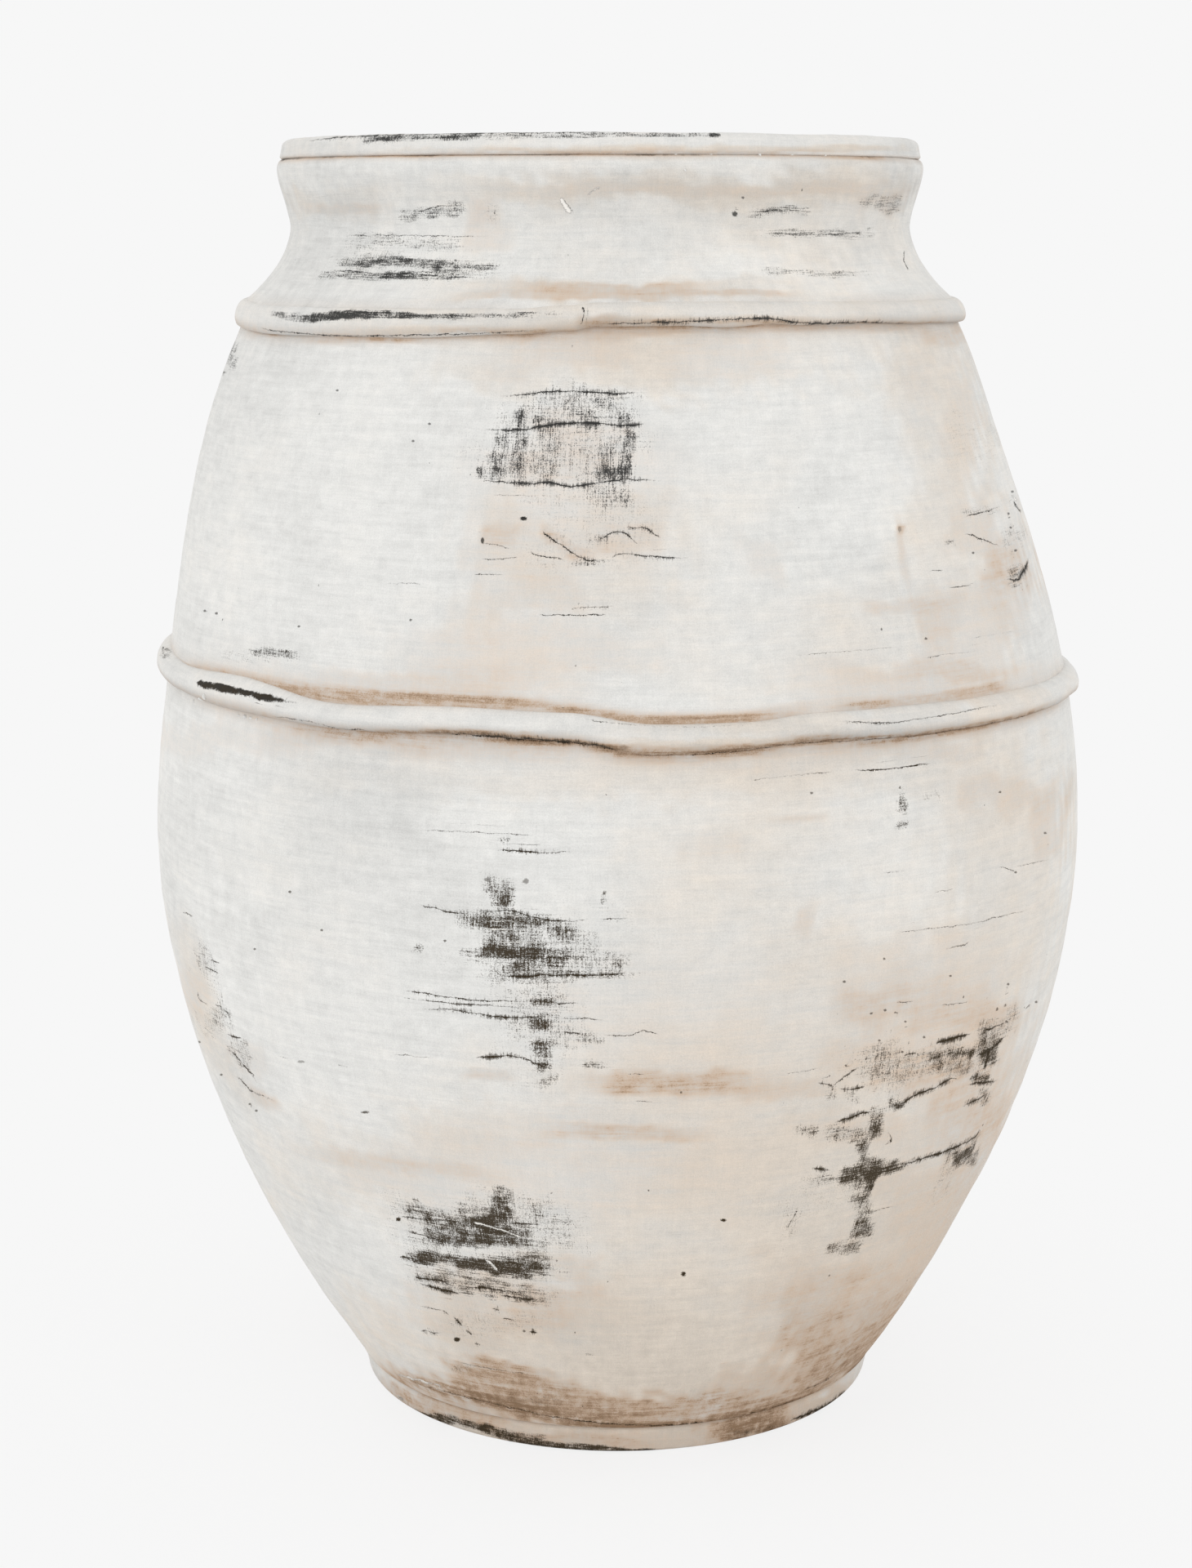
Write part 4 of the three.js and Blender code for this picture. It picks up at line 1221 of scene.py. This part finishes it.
bellyCordMarks = {
    "shade": (patch(1090, 898, 460, 28, 0.28, soft=1.2), patch(600, 896, 300, 18, 0.2, soft=1.2)),
    "warm": (patch(1080, 880, 560, 70, 0.4), patch(900, 912, 260, 12, 0.6)),
    "brown": (patch(860, 918, 260, 9, 0.6), patch(560, 897, 220, 6, 0.5), patch(1060, 903, 200, 7, 0.6)),
    "worn": (
        patch(205, 797, 12, 16, 0.5, hatch=0.0), patch(1070, 884, 60, 4, 0.35), patch(764, 915, 10, 6, 0.3)),
    "strokes": (
        line(1.65, 1.4, 240, 836, 285, 845, 325, 854, 355, 859, 388, 864, fade=(0.02, 0.6)),
        line(0.25, 0.85, 1024, 883, 1060, 885, 1100, 884, 1170, 873, 1250, 857),
        line(0.3, 0.4, 700, 877, 760, 886, 860, 890, 960, 884), *crevice),
    # Brown along the crevice under the cord: painted shadow
    "bands": (dict(path=bellyCrevice[3:], wide=9, deep=0.8, field="brown"),),
}
lowerWallMarks = {
    "warm": (
        patch(860, 1200, 320, 420, 0.42, soft=1.2), patch(740, 1350, 500, 160, 0.3, soft=1.2),
        patch(1130, 1260, 330, 260, 0.55, soft=1.2), patch(980, 1560, 500, 330, 0.6, soft=1.2),
        patch(700, 1660, 560, 150, 0.65, soft=1.2), patch(450, 1430, 300, 120, 0.3, soft=1.2),
        patch(1240, 1040, 170, 240, 0.5, soft=1.2), patch(720, 950, 700, 60, 0.4, soft=1.2),
        patch(230, 1200, 60, 360, 0.15, soft=1.2), patch(1060, 985, 380, 180, 0.25, soft=1.3),
        patch(1080, 1560, 240, 300, 0.35, soft=1.3), patch(700, 1590, 300, 200, 0.3, soft=1.2),
        patch(870, 1700, 300, 80, 0.5, soft=1.2), patch(1090, 920, 300, 70, 0.3, soft=1.2),
        patch(1060, 1470, 280, 220, 0.3, soft=1.2)),
    "shade": (
        patch(250, 1160, 80, 180, -0.25, soft=1.2), patch(250, 905, 110, 100, -0.2, soft=1.2),
        patch(480, 1650, 120, 110, -0.2, soft=1.2), patch(430, 985, 160, 160, 0.2, soft=1.2),
        patch(410, 1080, 260, 220, 0.14, soft=1.2), patch(1050, 1640, 160, 90, 0.15, soft=1.2)),
    "brown": (
        patch(350, 905, 330, 40, 0.22), patch(440, 902, 190, 22, 0.5, soft=1.2),
        patch(570, 916, 200, 26, 0.5, soft=1.2), patch(860, 934, 240, 26, 0.15),
        patch(1080, 920, 220, 22, 0.3), patch(700, 926, 120, 18, 0.15), patch(826, 1325, 190, 26, 0.75),
        patch(790, 1332, 90, 12, 0.6), patch(930, 1334, 190, 24, 0.4), patch(775, 1387, 170, 15, 0.65),
        patch(600, 1318, 60, 10, 0.5), patch(640, 1380, 180, 50, 0.1),
        patch(1130, 1200, 150, 90, 0.26, soft=1.8), patch(1140, 1490, 150, 140, 0.4, soft=1.2),
        patch(830, 1270, 300, 200, 0.12, soft=1.2), patch(720, 1435, 460, 110, 0.2, soft=1.2),
        patch(630, 1600, 260, 90, 0.3, soft=1.2), patch(1060, 1640, 220, 180, 0.5, soft=1.2),
        patch(1210, 1360, 110, 240, 0.36, soft=1.2), patch(665, 1240, 120, 60, 0.12),
        patch(1092, 1240, 100, 60, 0.55, soft=1.6), patch(1200, 1240, 100, 36, 0.46, soft=1.6),
        patch(1050, 1300, 100, 44, 0.38, soft=1.5), patch(1150, 1310, 110, 54, 0.54, soft=1.4),
        patch(1190, 1370, 80, 54, 0.44, soft=1.5), patch(1060, 1380, 130, 36, 0.4, soft=1.5),
        patch(1235, 970, 120, 40, 0.3), patch(1290, 1010, 40, 90, 0.3), patch(1110, 1620, 120, 90, 0.45),
        patch(1040, 1580, 200, 60, 0.2), patch(660, 1600, 90, 50, 0.3), patch(720, 1560, 50, 50, 0.28),
        patch(575, 1680, 70, 34, 0.9), patch(620, 1697, 150, 40, 1.0, turn=10),
        patch(690, 1714, 140, 36, 1.1, turn=8), patch(620, 1716, 300, 30, 0.6, turn=10),
        patch(510, 1698, 110, 26, 0.3, turn=18), patch(850, 1728, 320, 36, 1.15, turn=-4),
        patch(960, 1692, 180, 60, 0.45, turn=-20), patch(1030, 1650, 120, 60, 0.6),
        patch(1052, 1672, 40, 34, 0.7), patch(1000, 1690, 160, 40, 0.8, turn=-30),
        patch(320, 1345, 44, 14, 0.4, turn=30), patch(490, 1425, 220, 20, 0.3, turn=8),
        patch(300, 1300, 60, 40, 0.2), patch(470, 1440, 120, 40, 0.1), patch(880, 1040, 60, 36, 0.15),
        patch(990, 1128, 26, 44, 0.3, turn=20), patch(975, 1003, 60, 8, 0.35),
        patch(235, 1215, 26, 70, 0.25)),
    "worn": (
        patch(618, 1098, 30, 40, 0.62, hatch=0.8), patch(601, 1084, 16, 22, 0.42, hatch=1.0),
        patch(627, 1128, 80, 16, 0.7), patch(618, 1150, 56, 40, 0.6, hatch=0.8),
        patch(693, 1140, 50, 28, 0.38, hatch=1.0), patch(576, 1126, 40, 18, 0.38, hatch=1.0),
        patch(690, 1152, 70, 34, 0.32, hatch=1.0), patch(622, 1166, 70, 14, 0.8, hatch=0.4),
        patch(667, 1180, 48, 26, 0.55, hatch=0.6), patch(630, 1186, 40, 16, 0.4, hatch=0.6),
        patch(665, 1240, 100, 60, 0.2, hatch=0.9), patch(733, 1181, 90, 20, 0.32, hatch=0.9),
        patch(760, 1184, 8, 14, 0.4, hatch=1.0), patch(512, 1162, 14, 8, 0.7), patch(578, 1165, 30, 6, 0.5),
        patch(617, 1030, 14, 8, 0.6), patch(597, 1077, 9, 5, 0.6), patch(644, 1079, 8, 6, 0.6),
        patch(736, 1098, 9, 12, 0.5, hatch=0.9), patch(665, 1227, 30, 9, 0.9, hatch=0.6),
        patch(660, 1252, 22, 14, 0.85, hatch=0.8), patch(660, 1282, 22, 22, 0.75, hatch=0.8),
        patch(666, 1303, 18, 10, 0.95, hatch=0.6), patch(672, 1322, 20, 12, 0.5, hatch=1.0),
        patch(724, 1268, 34, 12, 0.42, hatch=1.0), patch(726, 1303, 28, 8, 0.5),
        patch(645, 1250, 120, 170, 0.15, hatch=0.9, soft=1.2),
        patch(655, 1150, 280, 110, 0.12, hatch=0.9, soft=1.2), patch(700, 1196, 180, 8, 0.4, hatch=0.2),
        patch(1105, 990, 14, 14, 0.55, hatch=0.2), patch(1106, 1011, 18, 3, 0.7, hatch=0.2),
        patch(1104, 978, 11, 34, 0.3, hatch=1.0), patch(1146, 974, 26, 12, 0.22, hatch=1.0),
        patch(447, 1362, 9, 3, 0.85), patch(886, 1494, 8, 4, 1.3), patch(837, 1560, 6, 6, 1.1),
        patch(369, 1300, 8, 3, 0.5), patch(262, 1205, 24, 90, 0.24, hatch=1.0, turn=-14),
        patch(262, 1250, 40, 40, 0.3, hatch=0.9), patch(292, 1292, 26, 34, 0.4, hatch=0.9, turn=-20),
        patch(246, 1170, 26, 30, 0.2, hatch=1.0), patch(1150, 1296, 120, 40, 0.28, hatch=0.9),
        patch(1182, 1288, 40, 10, 0.8, hatch=0.6), patch(1212, 1284, 22, 40, 0.7, hatch=0.8),
        patch(1148, 1293, 12, 10, 0.7, hatch=0.8), patch(1203, 1321, 24, 12, 0.8),
        patch(1206, 1342, 14, 18, 0.7, hatch=0.8), patch(1168, 1308, 44, 28, 0.3, hatch=0.8),
        patch(1215, 1255, 46, 20, 0.35, hatch=0.9), patch(1240, 1240, 16, 14, 0.4, hatch=0.6),
        patch(1015, 1342, 16, 18, 0.45, hatch=1.0), patch(1041, 1340, 16, 18, 0.5, hatch=1.0),
        patch(1090, 1316, 60, 50, 0.24, hatch=1.0), patch(1060, 1302, 84, 34, 0.13),
        patch(1074, 1366, 20, 26, 0.62, hatch=0.8), patch(1072, 1384, 18, 16, 0.8, hatch=0.6),
        patch(1100, 1352, 28, 12, 0.7, hatch=0.6), patch(986, 1388, 20, 16, 0.6),
        patch(1030, 1388, 60, 20, 0.5, hatch=0.6), patch(1180, 1416, 30, 36, 0.85, hatch=0.7, turn=8),
        patch(1156, 1446, 26, 60, 0.2, hatch=0.9, turn=25),
        patch(1053, 1410, 14, 28, 0.8, hatch=0.3, turn=-12), patch(1056, 1434, 48, 22, 0.95, hatch=0.2),
        patch(1080, 1433, 50, 9, 0.75, hatch=0.3, turn=-10), patch(1056, 1452, 36, 18, 0.6),
        patch(1066, 1455, 10, 26, 0.85, turn=14), patch(1015, 1442, 46, 8, 0.45, hatch=0.3),
        patch(1050, 1468, 22, 10, 0.6, hatch=0.4), patch(1056, 1508, 24, 24, 0.75, hatch=0.7, turn=12),
        patch(1054, 1486, 16, 24, 0.5, hatch=0.9, turn=10), patch(1035, 1527, 34, 13, 0.6),
        patch(1010, 1460, 90, 60, 0.14, hatch=1.0), patch(970, 1495, 24, 44, 0.16, hatch=0.9, turn=24),
        patch(1110, 1470, 90, 60, 0.06, hatch=1.0), patch(608, 1480, 30, 40, 0.8, hatch=0.7, turn=8),
        patch(604, 1503, 70, 16, 0.95, hatch=0.3, turn=14),
        patch(634, 1513, 40, 14, 0.75, hatch=0.3, turn=12), patch(577, 1485, 60, 30, 0.36),
        patch(564, 1502, 90, 36, 0.5, hatch=0.4, turn=8), patch(528, 1482, 40, 12, 0.6, hatch=0.3, turn=15),
        patch(570, 1520, 50, 10, 0.65, hatch=0.4, turn=12),
        patch(610, 1520, 110, 14, 0.62, hatch=0.3, turn=8), patch(680, 1500, 100, 60, 0.18, hatch=0.4),
        patch(541, 1544, 50, 18, 1.0, hatch=0.2, turn=10), patch(612, 1553, 100, 20, 1.05, hatch=0.2, turn=5),
        patch(566, 1552, 24, 10, 1.0, hatch=0.3), patch(512, 1540, 26, 10, 0.7, hatch=0.2, turn=12),
        patch(650, 1548, 90, 24, 0.4, hatch=0.4), patch(590, 1500, 200, 90, 0.26, hatch=0.7, soft=1.2),
        patch(590, 1576, 170, 22, 0.5, hatch=0.1, turn=8), patch(488, 1493, 6, 5, 1.6),
        patch(560, 1640, 8, 5, 1.5), patch(610, 1618, 110, 34, 0.2), patch(723, 1658, 12, 4, 0.7),
        patch(560, 1674, 30, 10, 0.35, hatch=0.4), patch(640, 1712, 110, 14, 0.22)),
    "specks": (
        (1225, 970), (994, 971), (1244, 1068), (642, 1630), (1083, 1174), (1280, 1020), (355, 1092),
        (312, 1162), (271, 1316), (244, 1276), (394, 1139), (300, 1349), (306, 1352), (314, 1360),
        (545, 1152), (1034, 1202), (1235, 1205), (1164, 1195), (1096, 1240), (1103, 1241), (1099, 1257),
        (1109, 1251), (1110, 1273), (1109, 1278), (1077, 1274), (1035, 1282), (1025, 1286), (1060, 1296),
        (1047, 1296), (1045, 1291), (1038, 1296), (1031, 1297), (1042, 1304), (1036, 1305), (1054, 1295),
        (1064, 1299), (1074, 1296), (1080, 1300), (1085, 1295), (1089, 1289), (1084, 1307), (1090, 1314),
        (1081, 1314), (1227, 1228), (1231, 1230), (1221, 1235), (1238, 1242), (1256, 1234), (1269, 1227),
        (1222, 1248), (1233, 1251), (1132, 1278), (1132, 1270), (1067, 1241), (1084, 1237), (1105, 1288)),
    "strokes": (
        *crevice, line(0.2, 0.35, 228, 1092, 262, 1180, 276, 1240, 290, 1280, 318, 1330, 352, 1362),
        line(0.35, 0.75, 468, 1679, 528, 1699, 602, 1718, 680, 1735, 745, 1743, 820, 1745, 900, 1736,
             970, 1716, 1027, 1694, 1052, 1672), line(0.3, -0.9, 594, 1120, 625, 1121, 660, 1124),
        line(0.3, -0.8, 596, 1127, 640, 1129), line(0.3, 0.75, 506, 1016, 560, 1018, 612, 1021, 664, 1022),
        line(0.45, 0.85, 604, 1040, 636, 1042, 670, 1044, 714, 1041),
        line(0.4, 0.95, 512, 1108, 533, 1112, 548, 1116, 580, 1119),
        line(0.5, 1.05, 573, 1114, 600, 1116, 622, 1115, 641, 1119, 661, 1125, 690, 1128, 712, 1127,
             726, 1123), line(0.4, 0.8, 735, 1125, 772, 1125),
        line(0.5, 0.85, 587, 1172, 620, 1172, 665, 1173, 700, 1172, 748, 1172),
        line(0.55, 1.1, 607, 1196, 640, 1196, 665, 1194, 720, 1194, 776, 1192, 822, 1191, fade=(0.1, 0.5)),
        line(0.4, 0.9, 490, 1213, 512, 1215, 549, 1221, 609, 1226, 652, 1226),
        line(0.5, 0.8, 679, 1229, 712, 1228),
        line(0.5, 1.0, 499, 1234, 556, 1237, 595, 1243, 631, 1246, 661, 1247, 675, 1255),
        line(0.35, 0.7, 677, 1249, 700, 1247, 748, 1249), line(0.6, 0.9, 690, 1264, 714, 1266),
        line(0.35, 0.8, 736, 1267, 770, 1268, 790, 1262, 813, 1269),
        line(0.55, 1.05, 576, 1296, 595, 1294, 620, 1293, 638, 1295, 654, 1301, 664, 1304, 688, 1300),
        line(0.5, 0.9, 709, 1304, 741, 1303), line(0.3, 0.5, 480, 1290, 532, 1296),
        line(0.4, 0.7, 764, 1314, 792, 1316), line(0.3, 0.7, 776, 1348, 800, 1349),
        line(0.3, 0.5, 341, 1293, 358, 1298), line(0.3, 0.5, 413, 1302, 430, 1308),
        line(0.35, -1.0, 594, 1137, 650, 1138, fade=(0.1, 0.1)),
        line(0.3, -1.0, 605, 1153, 660, 1154, 700, 1156, fade=(0.1, 0.1)),
        line(0.22, 0.55, 910, 956, 970, 950, 1032, 944),
        line(0.3, 1.0, 1031, 943, 1071, 943, 1098, 941, 1125, 937, 1156, 933),
        line(0.25, 0.6, 1080, 1069, 1111, 1066), line(0.25, 0.6, 1142, 1093, 1173, 1088),
        line(0.25, 0.7, 1222, 1061, 1246, 1067), line(0.25, 0.5, 1243, 1062, 1290, 1051),
        line(0.25, 0.6, 1086, 1143, 1130, 1138, 1181, 1132, 1235, 1120, 1277, 1110),
        line(0.3, 0.9, 1156, 1162, 1180, 1157, 1187, 1152), line(0.3, 0.8, 224, 1117, 237, 1122),
        line(0.3, 0.8, 242, 1166, 255, 1172), line(0.3, 0.8, 257, 1175, 271, 1180),
        line(0.4, 0.8, 248, 1182, 259, 1188, 271, 1193), line(0.3, 0.8, 242, 1214, 245, 1224, 257, 1232),
        line(0.4, 0.95, 262, 1230, 270, 1233, 279, 1240, 281, 1247),
        line(0.4, 1.05, 277, 1266, 286, 1270, 298, 1270),
        line(0.35, 1.0, 281, 1283, 290, 1294, 300, 1306, 307, 1314, 316, 1320),
        line(0.4, 0.85, 288, 1315, 297, 1324, 306, 1334, 318, 1341, 333, 1347, 344, 1357, fade=(0.15, 0.6)),
        line(0.8, 1.2, 1146, 1277, 1160, 1274, 1174, 1270, 1194, 1265, fade=(0.1, 0.3)),
        line(0.55, 1.1, 1202, 1263, 1220, 1257, 1234, 1251),
        line(0.75, 1.15, 1240, 1264, 1226, 1273, 1212, 1285, 1194, 1294, fade=(0.5, 0.1)),
        line(0.8, 1.1, 1213, 1284, 1208, 1297, 1206, 1314),
        line(0.6, 1.1, 1096, 1358, 1108, 1350, 1121, 1341, 1134, 1336, 1148, 1330, 1160, 1323, 1168, 1320,
             1178, 1323), line(0.65, 1.05, 1020, 1375, 1040, 1369, 1052, 1364, 1077, 1359),
        line(0.7, 1.1, 1183, 1329, 1200, 1326, 1212, 1325, 1226, 1322),
        line(0.55, 1.05, 1176, 1355, 1192, 1349, 1202, 1344, 1210, 1339),
        line(0.65, 1.05, 1002, 1325, 1013, 1328, 1022, 1331),
        line(0.4, 0.9, 1018, 1331, 1036, 1317, 1054, 1305),
        line(0.55, 1.05, 1024, 1332, 1038, 1334, 1050, 1333, 1061, 1329),
        line(0.65, 1.1, 1093, 1428, 1116, 1423, 1134, 1417, 1155, 1411, 1178, 1401, 1192, 1394, 1200, 1386,
             1199, 1379), line(0.7, 0.9, 994, 1430, 1006, 1432, 1017, 1433),
        line(0.4, 0.8, 978, 1480, 970, 1493, 964, 1505), line(0.3, 0.55, 1057, 1486, 1102, 1475),
        line(0.35, 0.8, 1148, 1232, 1170, 1229, 1189, 1226), line(0.3, 0.7, 1096, 1228, 1120, 1226),
        line(0.4, 0.5, 958, 1315, 985, 1311, 1012, 1307), line(0.4, 0.8, 1088, 1385, 1091, 1397, 1081, 1404),
        line(0.6, 0.9, 1106, 1292, 1125, 1289), line(0.45, 0.9, 618, 1498, 645, 1499, 670, 1500),
        line(0.3, 0.8, 486, 1489, 520, 1493, 547, 1496),
        line(0.4, 0.9, 490, 1504, 520, 1513, 545, 1521, 577, 1526), line(0.5, 0.8, 504, 1467, 516, 1473),
        line(0.55, 1.1, 488, 1538, 505, 1542, 524, 1546), line(0.5, 0.85, 643, 1560, 662, 1561, 683, 1562),
        line(0.6, 1.25, 503, 1561, 520, 1566, 537, 1568, 557, 1575),
        line(0.6, 1.2, 508, 1570, 530, 1576, 548, 1581, 568, 1584),
        line(0.6, 1.25, 575, 1575, 600, 1578, 625, 1582, 647, 1584),
        line(0.5, 1.2, 610, 1586, 640, 1590, 658, 1591),
        line(0.6, -1.1, 579, 1496, 600, 1502, 625, 1510, 648, 1518, fade=(0.1, 0.1)),
        line(0.9, -1.1, 597, 1543, 603, 1550, 610, 1556, fade=(0.05, 0.1)),
        line(0.4, 0.9, 542, 1604, 551, 1612), line(0.5, 0.9, 555, 1612, 563, 1620, 568, 1624),
        line(0.45, 0.95, 570, 1627, 580, 1636), line(0.5, 1.0, 514, 1630, 524, 1630, 531, 1632, 542, 1631),
        line(0.45, 0.9, 581, 1645, 591, 1647), line(0.5, 0.8, 603, 1602, 613, 1604),
        line(0.3, 0.7, 614, 1614, 632, 1617), line(0.5, 0.9, 648, 1630, 658, 1632),
        line(0.25, 0.7, 512, 1599, 530, 1602, 545, 1605), line(0.25, 0.5, 546, 1665, 615, 1678, 670, 1686),
        line(0.4, 0.65, 980, 1703, 1000, 1696, 1016, 1687, 1025, 1677),
        line(0.7, -0.8, 484, 1682, 512, 1690, 543, 1698, fade=(0.1, 0.1))),
    "bands": (
        # These two follow the crevice under the belly cord: brown wash and painted shadow
        dict(path=((212, 848), (240, 858), (280, 866), *bellyCrevice), wide=26, deep=0.4, field="brown"),
        dict(path=bellyCrevice[3:], wide=9, deep=1.1, field="brown"),
        dict(path=lowerLeft, wide=42, deep=0.12, field="shade"),
        dict(path=lowerLeft, wide=42, deep=0.35, field="warm"),
        stripe("brown", 16, 1.2, 468, 1680, 528, 1697, 602, 1717, 680, 1736, 745, 1747, 810, 1749, 867, 1744,
             940, 1730, 1027, 1702, 1054, 1670)),
}
footRingMarks = {
    "warm": (
        patch(760, 1750, 600, 60, 0.9), patch(860, 1750, 180, 40, 0.6, soft=1.2),
        patch(1000, 1715, 160, 70, 1.0, soft=1.2)),
    "brown": (
        patch(540, 1722, 170, 34, 0.9, turn=16), patch(700, 1764, 200, 14, 0.5, turn=4),
        patch(912, 1744, 96, 32, 1.9, turn=-12), patch(1000, 1714, 110, 40, 0.42, turn=-28, soft=1.2),
        patch(790, 1762, 260, 20, 0.3)),
    "worn": (
        patch(560, 1742, 120, 10, 0.85, hatch=0.3, turn=14),
        patch(620, 1756, 80, 14, 0.7, hatch=0.4, turn=10), patch(700, 1771, 170, 8, 0.95, hatch=0.2, turn=4),
        patch(480, 1710, 40, 10, 0.6, hatch=0.3, turn=26), patch(920, 1752, 70, 10, 0.4, turn=-10),
        patch(1010, 1726, 60, 8, 0.8, hatch=0.2, turn=-26), patch(780, 1776, 120, 5, 0.8, hatch=0.2)),
    "strokes": (line(0.7, 1.1, 958, 1742, 985, 1733, 1010, 1722, 1030, 1709, 1043, 1697, fade=(0.25, 0.25)),),
}


def edgeOf(cord, seam, side):
    # Height of a cord's upper or lower edge at each angle
    def edge(angles):
        rise, height = atStations(cord["stations"], angles).T
        return seam + rise + side * height / 2
    return edge


# Corners darkened with dirt and painted shade: each has its edge, its way, its reach in millimetres and its
# strength
creases = {
    "lower_wall": ((edgeOf(bellyCord, bellySeam, -1), -1, 5.0, 0.5),
                   (lambda angles: foot["height"], 1, 5.0, 0.9)),
    "upper_wall": ((edgeOf(bellyCord, bellySeam, 1), 1, 6.0, 0.65),
                   (edgeOf(shoulderCord, neckSeam, -1), -1, 5.0, 0.7)),
    "neck": ((edgeOf(shoulderCord, neckSeam, 1), 1, 4.0, 0.45), (lambda angles: groove, -1, 2.6, 1.15)),
    "rim_lip": ((lambda angles: groove, 1, 1.6, 1.0),),
    "foot_ring": ((lambda angles: foot["height"], -1, 4.0, 0.8),),
}
# Strength of the painted shade under each cord
cordUnderShade = {"belly_cordon": 0.75, "shoulder_cordon": 0.5}
seenMarks = {
    "neck": neckMarks,
    "rim_lip": rimLipMarks,
    "shoulder_cordon": shoulderCordMarks,
    "upper_wall": upperWallMarks,
    "belly_cordon": bellyCordMarks,
    "lower_wall": lowerWallMarks,
    "foot_ring": footRingMarks,
}
# Wear out of view: its seed, lowest and highest place in millimetres, and number of clusters
wearBehind = {"lower_wall": (3, 70, 270, 4), "upper_wall": (8, 350, 440, 3), "neck": (5, 490, 515, 2),
              "belly_cordon": (6, bellySeam - 4, bellySeam + 4, 2),
              "shoulder_cordon": (7, neckSeam - 3, neckSeam + 3, 2),
              "rim_lip": (9, lipTop - 5, lipTop, 2), "foot_ring": (11, 0, 10, 3)}

paints = []
for node, piece in pieces.items():
    paint = Paint(piece)
    paints.append(paint)
    seen = seenMarks.get(node, {})
    for field in ("warm", "brown", "worn", "shade"):
        paint.lay(field, seen.get(field, ()), paint.nearX, paint.nearY)
    paint.speck(seen.get("specks", ()))
    paint.band(seen.get("bands", ()), paint.nearX, paint.nearY)
    paint.draw(seen.get("strokes", ()), paint.x, paint.y)
    paint.fadeBehind()
    if node in ("lower_wall", "foot_ring"):
        paint.footGrime()
    if node in wearBehind:
        paint.wearBehind(*wearBehind[node])
    for creaseDirtAndShade in creases.get(node, ()):
        paint.creaseDirtAndShadeBy(*creaseDirtAndShade)
    if node in cordUnderShade:
        paint.paintUnderShade(cordUnderShade[node])
    paint.store()
    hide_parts(node)
    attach(piece, "root")
    print(node, len(piece.data.polygons), "faces")


# Crumbs of slip stuck to the wash, each on the nearest surface at its place in the photograph: x, y, and
# radius in millimetres
crumbs = ((250, 852, 1.5), (246, 858, 1.0), (236, 860, 1.0), (292, 877, 0.6), (299, 879, 0.8),
          (308, 880, 0.7), (314, 881, 0.5), (1240, 608, 0.9), (1237, 616, 0.7), (827, 188, 0.6),
          (871, 189, 0.6), (899, 188, 0.6), (931, 189, 0.6), (969, 190, 0.7), (988, 185, 0.6),
          (1011, 190, 0.5), (841, 208, 0.7), (545, 255, 0.5))


def crumbPlace(x, y):
    nearest = []
    for paint in paints:
        far = np.hypot(paint.x - x, paint.y - y)
        best = int(np.argmin(far))
        nearest.append((float(far[best]), tuple(paint.places[best])))
    return min(nearest)[1]


crumbPoints = pointMesh("crumbPlaces", [crumbPlace(x, y) for x, y, _ in crumbs],
                        size=[radius * mm for *_, radius in crumbs])
slipPiece = grown("worn_slip_crumbs", crumbPoints, slipCrumbs,
                  {"Roughness": 0.3, "Seed": 4, "Finish": whitewash})
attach(slipPiece, "root")
print("crumbs", len(slipPiece.data.polygons), "faces")


# Floor, backdrop and light, in metres. A lamp has its name, place, size and power in watts.
stage = {
    "size": 30.0, "paper": (0.93, 0.93, 0.93, 1.0), "litPaper": (0.95, 0.95, 0.95, 1.0),
    "sky": (1.0, 0.995, 0.985, 1.0),
    "shadowReach": (0.14, 0.42), "shadowShare": 0.12, "worldLight": 0.94, "aimHeight": 0.28,
    "lamps": (("keyLamp", (-2.3, -1.4, 1.7), 1.8, 7.5), ("fillLamp", (2.2, -1.4, 1.0), 1.8, 4.2),
              ("lowLamp", (0.0, -2.4, 0.25), 2.0, 5.0)),
}


def setFloor():
    half = stage["size"] / 2
    mesh = bpy.data.meshes.new("floor")
    corners = [(-half, -half, 0), (half, -half, 0), (half, half, 0), (-half, half, 0)]
    mesh.from_pydata(corners, [], [(0, 1, 2, 3)])
    material = bpy.data.materials.new("palePaper")
    tree = emptyTree(material)
    x, y, _ = parts(ownPlace(tree))
    shadow = smooth((x * x + y * y).sum("SQRT"), *stage["shadowReach"], stage["shadowShare"], 0.0)
    shown = put(tree, "ShaderNodeLightPath", output="Is Camera Ray") * (1 - shadow)
    paper = put(tree, "ShaderNodeBsdfDiffuse", {"Color": stage["litPaper"]})
    glow = put(tree, "ShaderNodeEmission", {"Color": stage["paper"]})
    both = put(tree, "ShaderNodeMixShader", {0: shown, 1: paper, 2: glow})
    put(tree, "ShaderNodeOutputMaterial", {"Surface": both})
    mesh.materials.append(material)
    addObject("floor", mesh)


def setWorld():
    world = bpy.data.worlds.new("studio")
    bpy.context.scene.world = world
    tree = emptyTree(world)
    shown = put(tree, "ShaderNodeLightPath", output="Is Camera Ray")
    colour = blendColours(tree, shown, stage["sky"], stage["paper"])
    strength = shown * (1 - stage["worldLight"]) + stage["worldLight"]
    put(tree, "ShaderNodeOutputWorld",
        {"Surface": put(tree, "ShaderNodeBackground", {"Color": colour, "Strength": strength})})


def setLamps():
    for name, place, size, power in stage["lamps"]:
        light = bpy.data.lights.new(name, "AREA")
        light.shape, light.size, light.energy = "SQUARE", size, power
        x, y, z = np.array([0, 0, stage["aimHeight"]]) - np.array(place)
        addObject(name, light, place, (math.atan2(math.hypot(x, y), -z), 0, math.atan2(-x, y)))


setFloor()
setWorld()
setLamps()
bpy.context.scene.view_settings.view_transform = "Standard"
print("stage set")
